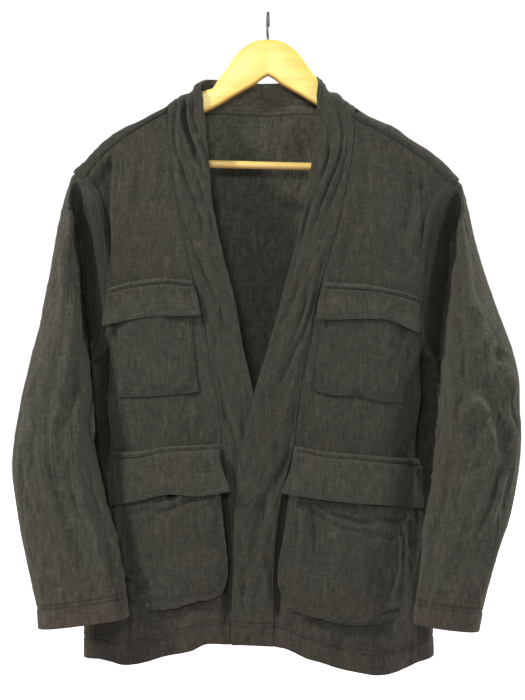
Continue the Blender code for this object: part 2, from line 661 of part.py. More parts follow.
def new_material(name, colour, roughness, metallic=0.0):
    made = bpy.data.materials.new(name)
    made.use_nodes = True
    shader = made.node_tree.nodes["Principled BSDF"]
    shader.inputs["Base Color"].default_value = (*colour, 1)
    shader.inputs["Roughness"].default_value = roughness
    shader.inputs["Metallic"].default_value = metallic
    return made


def place(name, data, material, collection):
    data.materials.append(material)
    obj = bpy.data.objects.new(name, data)
    collection.objects.link(obj)
    return obj


def cloth(name, points, thickness, material, ring=False, mirrored=False, inward=False):
    """Grid of points [across, down, xyz] as an open surface, given its wall by Solidify."""
    across, down = points.shape[:2]
    index = np.arange(across * down).reshape(across, down)
    if ring:
        index = np.vstack([index, index[:1]])
    a, b, c, d = index[:-1, :-1], index[1:, :-1], index[1:, 1:], index[:-1, 1:]
    quads = np.stack([d, c, b, a] if mirrored else [a, b, c, d], -1).reshape(-1, 4)
    mesh = bpy.data.meshes.new(name)
    mesh.from_pydata(points.reshape(-1, 3).tolist(), [], quads.tolist())
    mesh.shade_smooth()
    obj = place(name, mesh, material, JACKET)
    solid = obj.modifiers.new("wall", "SOLIDIFY")
    solid.thickness = thickness
    solid.offset = -1 if inward else 1
    solid.use_even_offset = False
    return obj


def wood_outline(steps=30):
    """The hanger's outline: top edge from end to end, then the lower edge back."""
    out = np.linspace(-WOOD_END, WOOD_END, 2 * steps + 1)
    under_cloth = shoulder_z(out) - WOOD_CLEAR
    arch = follow(WOOD_TOP["out"], WOOD_TOP["z"], np.abs(out))
    blend = ease((np.abs(out) - 64 * MM) / (10 * MM))
    top = arch * (1 - blend) + under_cloth * blend
    low = follow(WOOD_LOW["out"], WOOD_LOW["z"], np.abs(out))
    low = low + ease((np.abs(out) - 150 * MM) / (40 * MM)) * np.where(out > 0, -8, 0) * MM
    ends = ease((np.abs(out) - 190 * MM) / (6 * MM)) * 3 * MM
    return np.concatenate([np.stack([out, top - ends], -1),
                           np.stack([out, low + ends], -1)[::-1]])


def hanger_wood(name, material):
    curve = bpy.data.curves.new(name, "CURVE")
    curve.dimensions = "2D"
    curve.fill_mode = "BOTH"
    curve.extrude = WOOD_THICK / 2 - WOOD_ROUND
    curve.bevel_depth = WOOD_ROUND
    curve.bevel_resolution = 1
    curve.offset = -WOOD_ROUND
    outline = wood_outline()
    spline = curve.splines.new("POLY")
    spline.points.add(len(outline) - 1)
    spline.use_cyclic_u = True
    for point, (x, z) in zip(spline.points, outline):
        point.co = (x, z, 0, 1)
    flat = bpy.data.objects.new("outline", curve)
    flat.rotation_euler = (math.pi / 2, 0, 0)
    CUTTERS.objects.link(flat)
    bpy.context.view_layer.update()
    shape = flat.evaluated_get(bpy.context.evaluated_depsgraph_get())
    mesh = bpy.data.meshes.new_from_object(shape)
    edit = bmesh.new()
    edit.from_mesh(mesh)
    edit.transform(flat.matrix_world)
    bmesh.ops.remove_doubles(edit, verts=edit.verts[:], dist=0.00005)
    bmesh.ops.recalc_face_normals(edit, faces=edit.faces[:])
    edit.to_mesh(mesh)
    edit.free()
    bpy.data.objects.remove(flat, do_unlink=True)
    mesh.materials.clear()
    return place(name, mesh, material, JACKET)


def rod_cutter(name, start, end, radius, sides=16):
    """Round rod between two points, to cut a hole with."""
    axis = Vector(end) - Vector(start)
    mesh = bpy.data.meshes.new(name)
    edit = bmesh.new()
    bmesh.ops.create_cone(edit, cap_ends=True, segments=sides, radius1=radius,
                          radius2=radius, depth=axis.length)
    edit.transform(Matrix.Translation((Vector(start) + Vector(end)) / 2)
                   @ axis.to_track_quat("Z", "Y").to_matrix().to_4x4())
    edit.to_mesh(mesh)
    edit.free()
    obj = bpy.data.objects.new(name, mesh)
    CUTTERS.objects.link(obj)
    obj.hide_render = True
    return obj


def wire(name, path, radius, material, collection):
    """Round bar along a path of points."""
    curve = bpy.data.curves.new(name, "CURVE")
    curve.dimensions = "3D"
    curve.bevel_depth = radius
    curve.bevel_resolution = 2
    curve.use_fill_caps = True
    spline = curve.splines.new("POLY")
    spline.points.add(len(path) - 1)
    for point, co in zip(spline.points, path):
        point.co = (*co, 1)
    return place(name, curve, material, collection)


def hook_path(steps=18):
    """Shank up out of the wood, then the round of the hook over the rail."""
    mid = HOOK_WIRE / 2 - HOOK_BEND
    turn = np.radians(np.linspace(-62, 205, steps))
    loop = np.stack([HOOK_BEND * np.cos(turn), mid + HOOK_BEND * np.sin(turn)], -1)
    foot = WOOD_TOP["z"][0]
    shank = np.array([[0, foot - HOOK_SHANK], [0, foot - 4 * MM], [0, foot + 1 * MM],
                      [1.4 * MM, foot + 3.4 * MM], [3.8 * MM, foot + 5.0 * MM]])
    path = np.concatenate([shank, loop])
    x, y = -path[:, 0] * math.sin(HOOK_TURN), path[:, 0] * math.cos(HOOK_TURN)
    return np.stack([x, y, path[:, 1]], -1)


def cut(obj, cutter):
    carve = obj.modifiers.new("hole", "BOOLEAN")
    carve.operation = "DIFFERENCE"
    carve.solver = "EXACT"
    carve.object = cutter


for old in list(bpy.data.objects):
    bpy.data.objects.remove(old, do_unlink=True)

JACKET = new_collection("collarless jacket")
CUTTERS = new_collection("cutters")
CUTTERS.hide_render = True
WOOL = new_material("wool_cloth", (0.052, 0.050, 0.040), 0.95)
WOOD = new_material("beech_wood", (0.78, 0.55, 0.22), 0.45)
WIRE = new_material("steel_wire", (0.62, 0.62, 0.64), 0.3, 1.0)

for side, word in ((RIGHT, "right"), (LEFT, "left")):
    other = side == LEFT
    cloth("front_" + word, front_panel(side), CLOTH, WOOL, mirrored=other)
    cloth("band_" + word, band(side), BAND_CLOTH, WOOL, mirrored=not other)
    cloth("sleeve_" + word, sleeve(side), CLOTH, WOOL, True, not other, inward=True)
    cloth("chest_pocket_" + word, chest_pocket(side), CLOTH, WOOL, mirrored=not other)
    cloth("chest_flap_" + word, chest_flap(side), CLOTH, WOOL, mirrored=not other)
    cloth("hip_pocket_" + word, hip_pocket(side), CLOTH, WOOL, mirrored=not other)
    cloth("hip_flap_" + word, hip_flap(side), CLOTH, WOOL, mirrored=not other)
cloth("back", back_panel(), CLOTH, WOOL)

wood = hanger_wood("hanger_wood", WOOD)
bar = [Vector((out, 0, BAR_Z - BAR_DROP * out / BAR_HALF)) for out in (-BAR_HALF, BAR_HALF)]
wire("hanger_bar", bar, BAR_RADIUS, WOOD, JACKET)
wire("hanger_hook", hook_path(), HOOK_WIRE / 2, WIRE, JACKET)
run = (bar[1] - bar[0]).normalized() * FIT
cut(wood, rod_cutter("bar_hole", bar[0] - run, bar[1] + run, BAR_RADIUS + FIT))
foot = WOOD_TOP["z"][0]
cut(wood, rod_cutter("shank_hole", (0, 0, foot - HOOK_SHANK - FIT), (0, 0, foot + 5 * MM),
                     HOOK_WIRE / 2 + FIT))
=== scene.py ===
"""Collarless four-pocket wool jacket on a wooden hanger, finished over its plain frame.

Metres, +Z up, front towards -Y, wearer's left towards +X. Every piece of cloth
is a grid of points worked out from the same sizes as the frame's solids, moved
out along its normals by its folds, seams, hems and crinkle, and closed into a
thin shell. The place of each point on the cloth laid flat, in metres, is its UV.
Attributes hold its distances from the nearest stitched seam, joined edge and
turned hem, how much painted light or painted shade its colour takes there and
where it lies in the grain, and the wool's finish reads them.
"""

import math

import bpy
import numpy as np
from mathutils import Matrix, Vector


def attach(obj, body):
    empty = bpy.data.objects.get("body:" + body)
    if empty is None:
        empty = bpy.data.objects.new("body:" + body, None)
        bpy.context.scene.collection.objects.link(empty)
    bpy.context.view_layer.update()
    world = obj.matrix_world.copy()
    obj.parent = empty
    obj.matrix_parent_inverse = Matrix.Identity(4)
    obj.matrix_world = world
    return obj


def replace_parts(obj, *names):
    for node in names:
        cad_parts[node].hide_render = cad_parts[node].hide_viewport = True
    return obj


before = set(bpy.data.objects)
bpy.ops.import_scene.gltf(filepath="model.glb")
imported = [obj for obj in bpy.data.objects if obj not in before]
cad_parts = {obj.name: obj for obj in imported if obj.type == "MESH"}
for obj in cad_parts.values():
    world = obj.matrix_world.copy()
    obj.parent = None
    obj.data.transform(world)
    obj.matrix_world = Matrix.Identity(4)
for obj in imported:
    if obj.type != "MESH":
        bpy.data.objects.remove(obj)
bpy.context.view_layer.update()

MM = 0.001
RIGHT, LEFT = -1, 1         # the wearer's sides, as the sign of x
WORD = {RIGHT: "right", LEFT: "left"}
FORWARDS = np.array([0, -1.0, 0])                 # the way the jacket faces

# ------------------------------------------------------------------ sizes
CLOTH = 2.0 * MM            # wall of one layer of the wool cloth
BAND_CLOTH = 3.0 * MM       # the front band is folded double
FLAP_CLOTH = 2.8 * MM       # so is each flap
SEAM = 0.3 * MM             # gap between two pieces that are sewn together
ROLL = 10.0 * MM            # radius of the fold of cloth over the hanger
LAP = 5.2 * MM              # how far the left front stands over the right one
SEWN = 0.8 * MM             # gap under a pocket or flap laid on a front
UNDERARM_Z = -452.0 * MM
SPLIT = 0.455               # share of the back's length that lies above the underarm
HEM_WIDE = 25.0 * MM        # depth of the turned hem and of the turned cuffs
SEAM_WIDE = 8.5 * MM        # width of the raised allowance beside a seam
SEAM_CREST = 4.9 * MM       # where that allowance is worn, from the edge

# Rows of topstitching, by their distances from the edge.
STITCH_ROWS = (1.9 * MM, 7.3 * MM)                # of a seam
PATCH_ROWS = (2 * MM, 5.6 * MM)                   # of a chest pocket
FLAP_ROWS = (2 * MM, 5.2 * MM)                    # of a flap's free edges
STRIP_ROWS = (2.2 * MM, 8.6 * MM)                 # of the strip along a flap's top
HIP_ROWS = (2.2 * MM,)                            # of a hip pocket's fold
HEM_ROWS = (HEM_WIDE - 1.5 * MM, HEM_WIDE + 4 * MM)
BAND_ROW = 3.5 * MM                               # of a band's free edge
STITCH_STEP = 3.3 * MM
STITCH_LONG = 2.5 * MM
STITCH_THICK = 0.36 * MM
# Rings of a stitch: how far along it, how high and how wide, in shares of its sizes.
BEAD = ((-0.5, -0.25, 0.35), (-0.3, 0.28, 1), (0.3, 0.28, 1), (0.5, -0.25, 0.35))
WARP_STEP = 1.25 * MM       # lengths of the weave's waves, across and down the cloth
WEFT_STEP = 1.35 * MM
FAR = 1.0                   # stands for a distance where no seam or hem is near

FRONT_COLUMNS = 84          # divisions of the cloth's grids
ARMHOLE_ROWS = 120
SIDE_ROWS = 160
NECK_COLUMNS = 34
CROSSING_COLUMNS = 14
BACK_COLUMNS = 36
BACK_STEPS = (5, 5, 5, 5, 5, 6, 10, 18, 26, 32, 36, 38, 36, 32, 26, 16)
BACK_FINE = 7               # grid rows in each of those steps
BACK_SIDE_ROWS = 130
BAND_COLUMNS = 26
SLEEVE_BACK = 108           # columns of a sleeve behind its underarm
SLEEVE_RINGS = 200
RIM_STEPS = 4
NECK_REACH = 0.42           # share of the neck's rows that lies across the back

WOOD_THICK = 13.0 * MM
WOOD_ROUND = 4.6 * MM       # rounding of the arm's edges
WOOD_CLEAR = 3.6 * MM       # gap between the arm and the shoulder line
WOOD_END = 196.0 * MM
BAR_RADIUS = 4.9 * MM
BAR_Z = -196.5 * MM
BAR_HALF = 184.0 * MM
BAR_DROP = 4.5 * MM         # how far its left end hangs below its middle
HOOK_WIRE = 3.2 * MM
HOOK_BEND = 14.6 * MM       # radius of the bend, to the wire's middle
HOOK_TURN = math.radians(3)
HOOK_SHANK = 16.0 * MM      # length of the wire within the arm

CAMERA_AWAY = 2.0
VIEW_X, VIEW_Z = -7.15 * MM, -436.4 * MM          # middle of what the camera sees
VIEW_HIGH = 0.91                                  # and its height at the hanger
LIGHT_AIM = (0, 0, -0.45)
FLOOR_HALF = 14.0
FLOOR_Z = -1.85

# Colours of the wool, its thread, the beech and the steel.
WOOL_WARM = (0.0520, 0.0500, 0.0410, 1)
WOOL_COOL = (0.0480, 0.0482, 0.0405, 1)
WOOL_SLUB = (0.066, 0.059, 0.046, 1)
WOOL_FADED = (0.0635, 0.0485, 0.0425, 1)
THREAD_DARK = (0.026, 0.025, 0.022, 1)
THREAD_PALE = (0.060, 0.056, 0.046, 1)
BEECH_DEEP = (0.97, 0.72, 0.16, 1)
BEECH_PALE = (1.0, 0.84, 0.23, 1)
BEECH_GRAIN = (0.80, 0.48, 0.13, 1)
BEECH_FLECK = (0.55, 0.30, 0.10, 1)
# painted shade on the beech's underside
BEECH_PAINTED_SHADE = (0.62, 0.25, 0.06, 1)
BEECH_BAR = (1.0, 0.60, 0.27, 1)
STEEL = (0.16, 0.16, 0.18, 1)
# Painted light and shade: how much paler some pieces are painted than the back, and how much
# darker their folds are.
FLAP_PAINTED_LIGHT = 0.16
SLEEVE_PAINTED_LIGHT = {RIGHT: 0.34, LEFT: 0.16}
SLEEVE_PAINTED_SHADE = {RIGHT: 0.72, LEFT: 0.5}            # painted shade in the fold beside the armhole
FRONT_PAINTED_SHADE = {RIGHT: 0.3, LEFT: 0.25}             # painted shade beside the sleeve
TROUGH_PAINTED_SHADE = 29.0                                # painted shade, for each metre of a front's troughs



def table(columns, *rows):
    """Rows of millimetres as one array for each named column."""
    values = np.array(rows, float) * MM
    return {name: values[:, i] for i, name in enumerate(columns.split())}


def outline(top, low, *bow):
    """Top and lower edge of a pocket or flap as (x, z), evenly spaced from its outer to its
    inner side, and how far those two sides bow from straight between their ends.
    """
    return {"top": table("x z", *top), "low": table("x z", *low),
            "bow": table("outer inner", (0, 0), *bow, (0, 0))}


# Shoulder line: height of the fold over the hanger, by distance from x = 0.
SHOULDER = {
    RIGHT: table(
        "out z",
        (0, -91), (60, -91), (95, -101), (121, -117.5), (147, -130.5), (173, -143.5),
        (199, -158), (212, -166), (225, -178.5), (238, -193), (251, -206), (262, -224)),
    LEFT: table(
        "out z",
        (0, -91), (60, -91), (87, -104.5), (113, -124), (139, -137), (165, -151.5), (191, -167),
        (204, -175.5), (217, -186.5), (230, -197.5), (247, -216), (256, -228)),
}
SHOULDER_TIP = {RIGHT: (251 * MM, -206 * MM), LEFT: (247 * MM, -216 * MM)}

# How far the cloth stands from the hanger, by depth below the shoulder line.
FALL = table(
    "below front back",
    (10, 10, 10), (22, 12.5, 14), (40, 18, 17.5), (70, 28, 24), (110, 39, 33), (160, 49, 41),
    (230, 57, 47), (310, 62, 51), (420, 66, 56), (540, 67, 60), (640, 64, 63), (760, 60, 64))
# Half width of the body at its side seam, and how square its section is there in
# thousandths (2000 is an ellipse), by height.
SIDE = {
    RIGHT: table(
        "z half",
        (-850, 238), (-700, 236), (-600, 234), (-500, 231), (-452, 228), (-380, 230),
        (-300, 241), (-200, 266), (-80, 280)),
    LEFT: table(
        "z half",
        (-850, 212), (-700, 216), (-600, 219), (-500, 221), (-452, 220), (-380, 223),
        (-300, 233), (-200, 262), (-80, 276)),
}
SQUARE = table(
    "z power",
    (-850, 2500), (-620, 2400), (-520, 2500), (-452, 2900), (-380, 3500), (-300, 3900),
    (-200, 4000), (-80, 4000))

# Armhole seams on the front and the back face, from the underarm to the tip
# of the shoulder.
ARMHOLE = {
    (RIGHT, "front"): table(
        "z out",
        (-452, 228), (-446, 219), (-432, 211), (-405, 205), (-373, 204), (-322, 206),
        (-283, 211), (-245, 220), (-222, 234), (-206, 251)),
    (LEFT, "front"): table(
        "z out",
        (-452, 220), (-446, 211), (-432, 203), (-405, 198), (-378, 196), (-345, 197),
        (-311, 200), (-278, 205), (-249, 215), (-229, 231), (-216, 247)),
    (RIGHT, "back"): table(
        "z out",
        (-452, 228), (-446, 222), (-432, 217), (-400, 213), (-350, 214), (-290, 222),
        (-245, 234), (-206, 251)),
    (LEFT, "back"): table(
        "z out",
        (-452, 220), (-446, 214), (-432, 209), (-400, 206), (-350, 208), (-290, 216),
        (-250, 230), (-216, 247)),
}
# Forward shoulder seam: where it starts at the band and ends at the armhole.
FORWARD = {RIGHT: {"neck_z": -128.5 * MM, "tip_z": -217 * MM},
           LEFT: {"neck_z": -137 * MM, "tip_z": -223 * MM}}

# Band on the chest: x of its seam and of its free edge, by height.
BAND = {
    RIGHT: table(
        "z seam free",
        (-860, -45, 0), (-700, -47, 0), (-625, -50, -1), (-562, -57, -6), (-497, -64, -18),
        (-436, -75, -32), (-379, -85, -42), (-328, -99, -55), (-264, -112, -69),
        (-196, -124, -76), (-150, -129, -81), (-120, -131, -85)),
    LEFT: table(
        "z seam free",
        (-860, 7, -46), (-700, 8, -43), (-625, 16, -40), (-562, 31, -33), (-493, 39, -17),
        (-430, 51, 2), (-360, 65, 21), (-283, 87, 41), (-200, 105, 56), (-150, 111.5, 63),
        (-137, 112.7, 63.5), (-120, 113.5, 64)),
}
# Band round the neck, from the middle of the back to the chest: its seam on
# the body's cloth, as x and p, and its free edge.
NECK = {
    RIGHT: table(
        "seam_x seam_p free_x free_y free_z",
        (-9, 45, -9, 14, -89), (-45, 44, -37, 14, -88), (-85, 37, -60, 13, -85),
        (-112, 21, -73, 11, -84.5), (-126, 8, -82, 5, -87), (-130.5, -2, -86.5, -4, -92),
        (-131, -9, -87, -13, -101)),
    LEFT: table(
        "seam_x seam_p free_x free_y free_z",
        (-9, 45, -9, 14, -89), (27, 44, 18, 14, -88), (67, 41, 42, 13, -84),
        (95, 24, 55, 11, -81.5), (108, 9, 62, 5, -83), (113, -3, 65, -4, -87),
        (113.3, -13, 65, -13, -97)),
}

# Hem heights of the fronts and of the back, by x.
HEM = table(
    "x front back",
    (-238, -832, -832), (-204, -834, -833), (-180, -834, -833), (-155, -829, -831),
    (-130, -822, -828), (-98, -814, -826), (-79, -806, -824), (-45, -806, -823), (5, -808, -822),
    (25, -812, -823), (43, -821, -826), (65, -828, -829), (94, -838, -833), (132, -845, -838),
    (166, -844, -841), (187, -841, -841), (199, -837, -838), (212, -830, -830))

LOW_OUT = {RIGHT: -832 * MM, LEFT: -830 * MM}     # hem height at the side seams
LOW_IN = {RIGHT: -806 * MM, LEFT: -808 * MM}      # and at the band seams

# Soft folds of the fronts and the back: each runs from (x0, z0) to (x1, z1).
# A fold with a positive depth sinks in, and a negative one stands out.
FOLDS = {
    "front": table(
        "x0 z0 x1 z1 wide deep",
        (-188, -205, -192, -262, 10, 5), (-176, -205, -182, -300, 16, -3),
        (-92, -770, -100, -832, 16, -5), (62, -790, 66, -840, 18, -4),
        (128, -770, 140, -850, 26, -5), (-158, -760, -170, -838, 26, -5),
        (118, -170, 96, -300, 18, -2), (182, -230, 178, -340, 12, 4)),
    "back": table(
        "x0 z0 x1 z1 wide deep",
        (-120, -520, -150, -830, 34, 9), (-20, -470, 8, -830, 40, -8),
        (110, -500, 132, -830, 32, 9), (-60, -240, -40, -420, 30, 4),
        (60, -230, 70, -400, 26, 4)),
}

# Sleeves: outer and inner edge of the tube as seen from the front, the depth
# of its middle, its half depths in front and behind, and how far its front
# leans over towards the body. One row for each ring, from armhole to cuff.
SLEEVE = {
    RIGHT: table("outer z_outer inner z_inner mid front back lean",
                 (252, -208, 233, -456, 0, 40, 40, 0),
                 (259, -222, 237, -463, 0, 9, 22, 7),
                 (266, -245, 239, -474, -5, 24, 27, 11),
                 (272, -280, 238, -490, -14, 38, 31, 15),
                 (283, -350, 233, -514, -28, 47, 36, 16),
                 (299, -430, 225, -542, -44, 46, 38, 9),
                 (312, -493, 216, -569, -55, 44, 38, 2),
                 (320, -550, 208, -602, -63, 42, 37, 0),
                 (320, -590, 201, -636, -69, 40, 37, 0),
                 (311, -655, 190, -672, -75, 38, 36, 0),
                 (298, -715, 182, -712, -80, 35, 33, 0),
                 (289, -755, 176, -742, -84, 32, 30, 0),
                 (286, -781, 172, -766, -86, 30, 28, 0)),
    LEFT: table("outer z_outer inner z_inner mid front back lean",
                (248, -218, 225, -456, 0, 40, 40, 0),
                (255, -232, 229, -463, 0, 9, 22, 7),
                (261, -257, 231, -474, -5, 24, 27, 11),
                (269, -298, 230, -490, -14, 38, 31, 14),
                (285, -356, 226, -514, -28, 47, 36, 17),
                (303, -412, 217, -542, -44, 46, 38, 14),
                (315, -456, 210, -569, -55, 44, 38, 5),
                (317, -505, 205, -600, -63, 42, 37, 0),
                (316, -562, 199, -634, -69, 40, 37, 0),
                (305, -632, 193, -670, -75, 38, 36, 0),
                (286, -690, 189, -711, -80, 35, 33, 0),
                (270, -742, 184, -745, -84, 32, 30, 0),
                (262, -784, 181, -774, -86, 30, 28, 0)),
}
SLEEVE_SQUARE = 2.3
# Folds of the sleeves: start and end as turns round the tube (0 outer edge,
# 0.25 front, 0.5 inner edge) and shares of its length, width in shares, and
# depth in millimetres.
SLEEVE_FOLDS = {
    RIGHT: ((0.07, 0.36, 0.05, 0.62, 0.035, 4.0), (0.22, 0.48, 0.30, 0.86, 0.050, 3.5),
            (0.90, 0.30, 0.80, 0.80, 0.060, 4.5)),
    LEFT: ((0.06, 0.42, 0.24, 0.56, 0.036, 7.0), (0.06, 0.58, 0.26, 0.64, 0.036, 6.0),
           (0.26, 0.42, 0.22, 0.86, 0.036, -4.0), (0.90, 0.30, 0.82, 0.80, 0.060, 4.5)),
}

# Pockets and flaps on the fronts.
CHEST_POCKET = {
    RIGHT: outline([(-194, -367), (-146, -363), (-99, -361)],
                   [(-188, -496), (-138, -493.5), (-88, -489)], (1.5, -1.5)),
    LEFT: outline([(182, -379), (126, -371), (71, -363)],
                  [(168, -502.5), (140, -500.5), (112, -494), (84, -493), (57, -487)],
                  (-1.5, 2)),
}
CHEST_FLAP = {
    RIGHT: outline([(-199, -357.5), (-173.5, -351.2), (-148, -346.6), (-122.5, -347),
                    (-97, -349.5)],
                   [(-203.5, -404.5), (-174, -397.6), (-144, -393.2), (-115, -393.4),
                    (-85.7, -392.5)], (-1.5, 1.5)),
    LEFT: outline([(187, -369), (158, -361), (129, -354.8), (100, -352.4), (71, -351.5)],
                  [(183.5, -414), (153, -399), (121.6, -396.6), (91.3, -397.6), (61, -398.2)],
                  (2, -1.5)),
}
HIP_POCKET = {
    RIGHT: outline([(-193, -582), (-128, -576), (-62, -572)],
                   [(-183, -749), (-151, -761), (-118, -760), (-84, -751), (-50.5, -739.5)],
                   (-3, -1.5), (-5, 0.5), (-4, 2)),
    LEFT: outline([(184, -592), (109, -583), (34, -573)],
                  [(182, -768), (140, -779), (97, -780), (54, -771), (14, -754)],
                  (2, 0.5), (4, -4), (4, -6.5)),
}
HIP_FLAP = {
    RIGHT: outline([(-201.5, -566), (-167, -565), (-133, -559), (-98.5, -556.6),
                    (-63.5, -555)],
                   [(-199, -633), (-161, -625.5), (-123.5, -616), (-86, -617.4),
                    (-47.8, -611.5)], (-2, -2)),
    LEFT: outline([(196, -576), (155, -572), (114, -568), (73, -563.6), (32.5, -557.6)],
                  [(196.5, -637.5), (151, -630.7), (106, -626.6), (61, -620.9), (16, -613.4)],
                  (2, 2)),
}
CHEST_BULGE = 2.5 * MM
HIP_BULGE = 15.0 * MM       # depth of the bellows on its inner side
HIP_BULGE_OUTER = 4.0 * MM  # and on the side where the sleeve lies
RIM = 0.1                   # share of a pocket over which its edge rises
HIP_CORNER = {RIGHT: 0.09, LEFT: 0.13}            # share of its width lost at round corners
FLAP_CURL = {RIGHT: 4 * MM, LEFT: 9 * MM}         # lift of a chest flap's outer corner
# Fold beside an armhole: distance out where it starts, height of its top, and depth.
ARM_TROUGH = {RIGHT: (199.5 * MM, -160 * MM, 11 * MM),
              LEFT: (193 * MM, -210 * MM, 3.5 * MM)}

# Wooden hanger: lower edge of its arm, and top edge up to the shoulder fold,
# by distance from the middle.
WOOD_LOW = table(
    "out z",
    (0, -80), (8, -84.5), (18, -92), (40, -104.5), (66, -120), (90, -132), (120, -148),
    (150, -169), (172, -190), (186, -203), (196, -205))
WOOD_TOP = table(
    "out z",
    (0, -33.4), (14, -34.8), (27, -40.6), (40, -51.6), (50, -65), (60, -79.5), (68, -88),
    (76, -94))

# Smaller folds that only show: each runs from (x0, z0) to (x1, z1), on a front or
# the back. Positive depths sink in. A fold stands up again beside its trough.
FINE_FOLDS = {
    "front": table(
        "x0 z0 x1 z1 wide deep",
        (-190, -180, -193, -282, 4, -1.0), (-214, -205, -206, -290, 5, 1.4),
        (-168, -190, -176, -330, 8, 1.2), (-148, -170, -152, -290, 9, -1.0),
        (-139, -176, -132, -262, 5, 0.9), (-203, -300, -199, -352, 7, 1.4),
        (-206, -420, -196, -500, 8, 1.6), (-184, -508, -190, -560, 9, -1.3),
        (-150, -515, -140, -556, 10, 0.9), (-104, -420, -96, -545, 8, 0.8),
        (-68, -520, -74, -556, 7, -0.9), (-58, -640, -57, -742, 7, -1.4),
        (-48, -760, -52, -806, 9, 1.1), (-118, -775, -110, -826, 12, 1.2),
        (-146, -768, -140, -828, 9, -1.0), (-196, -770, -190, -832, 10, 1.2),
        (-222, -560, -226, -720, 12, -1.5), (-214, -600, -210, -770, 9, 1.2),
        (122, -165, 128, -280, 6, 1.2), (138, -172, 132, -250, 8, -0.9),
        (158, -186, 166, -338, 7, 1.1), (178, -196, 184, -290, 6, 1.2),
        (190, -215, 186, -330, 6, -1.4), (108, -250, 96, -340, 7, 0.8),
        (192, -420, 182, -500, 8, 1.5), (176, -512, 182, -566, 9, -1.2),
        (128, -508, 122, -560, 10, 0.8), (60, -470, 44, -560, 7, 0.9),
        (24, -610, 20, -700, 7, -1.2), (22, -770, 30, -812, 9, 1.0),
        (88, -790, 84, -836, 11, 1.3), (104, -784, 112, -842, 9, -1.1),
        (152, -790, 148, -846, 10, 1.1), (176, -780, 184, -842, 9, -0.9),
        (200, -560, 204, -720, 11, -1.3), (206, -610, 200, -790, 8, 1.2)),
    "back": table(
        "x0 z0 x1 z1 wide deep",
        (-206, -300, -150, -470, 9, 3.6), (-196, -360, -120, -520, 9, 2.8),
        (204, -310, 152, -480, 9, 3.4), (196, -372, 128, -530, 9, 2.6),
        (-150, -560, -172, -836, 11, 3.2), (-52, -500, -44, -836, 12, 3.0),
        (24, -520, 10, -836, 10, -2.8), (96, -520, 112, -836, 12, 3.2),
        (150, -470, 140, -620, 9, -2.4), (-112, -470, -100, -640, 9, -2.4),
        (-205, -250, -168, -420, 11, 2.6), (-190, -238, -150, -350, 9, -1.8),
        (-214, -420, -176, -560, 12, 2.2), (-200, -470, -168, -640, 10, -1.8),
        (-150, -170, -140, -270, 10, 1.4), (-96, -150, -82, -300, 12, -1.2),
        (-30, -150, -36, -260, 10, 1.0), (44, -160, 38, -300, 12, -1.1),
        (96, -160, 108, -290, 10, 1.3), (200, -262, 162, -400, 10, 2.4),
        (184, -240, 146, -352, 9, -1.7), (206, -430, 170, -570, 12, 2.0),
        (192, -490, 164, -660, 10, -1.7), (-82, -560, -100, -834, 14, -2.4),
        (-60, -600, -66, -830, 10, 1.8), (30, -580, 44, -832, 12, 2.2),
        (62, -560, 76, -834, 11, -2.0), (150, -600, 168, -836, 13, -2.2),
        (-184, -640, -196, -832, 12, 2.0), (-8, -640, -24, -828, 9, -1.4),
        (92, -640, 96, -834, 9, 1.5), (190, -660, 198, -834, 10, 1.8)),
}
# Folds of the bands: across from the seam (0) to the free edge (1000) and the way
# along from the middle of the back neck, in millimetres.
BAND_FOLDS = {
    RIGHT: table(
        "u0 s0 u1 s1 wide deep",
        (575, 112, 705, 212, 2.7, 4.2), (690, 108, 800, 205, 2.6, -1.6),
        (460, 112, 600, 235, 3.0, -1.6), (330, 120, 430, 300, 3.0, 1.8),
        (800, 150, 760, 300, 3.0, 1.4), (330, 170, 250, 330, 5, -1.2),
        (180, 190, 330, 420, 4.5, 1.1), (520, 300, 600, 470, 5, 0.9),
        (800, 260, 780, 420, 4.5, -0.8), (250, 440, 420, 640, 5, 1.1),
        (640, 470, 500, 660, 6, -1.0), (360, 620, 300, 800, 5, 0.9),
        (700, 640, 640, 820, 6, 1.0), (480, 790, 540, 930, 6, -0.9),
        (240, 820, 300, 960, 5, 1.0), (760, 40, 620, 130, 5, 1.0), (350, 30, 420, 130, 6, -1.0)),
    LEFT: table(
        "u0 s0 u1 s1 wide deep",
        (520, 115, 440, 300, 3.2, 1.9), (700, 120, 640, 300, 3.4, -1.3),
        (820, 140, 800, 330, 3.0, 1.5), (240, 330, 330, 520, 3.4, 1.8),
        (280, 150, 230, 300, 4.5, 1.4), (140, 200, 300, 420, 5, -1.0),
        (600, 330, 500, 560, 5, 1.1), (820, 300, 800, 480, 4.5, 0.8),
        (330, 430, 420, 640, 5, -1.0), (180, 520, 260, 700, 5, 1.1),
        (560, 600, 640, 800, 6, 1.0), (380, 700, 340, 860, 5, -1.0),
        (760, 700, 700, 900, 6, -1.0), (240, 830, 320, 980, 5, 1.2),
        (600, 860, 560, 1000, 6, 0.9), (740, 40, 640, 120, 5, 1.0),
        (380, 30, 430, 120, 6, -1.0)),
}
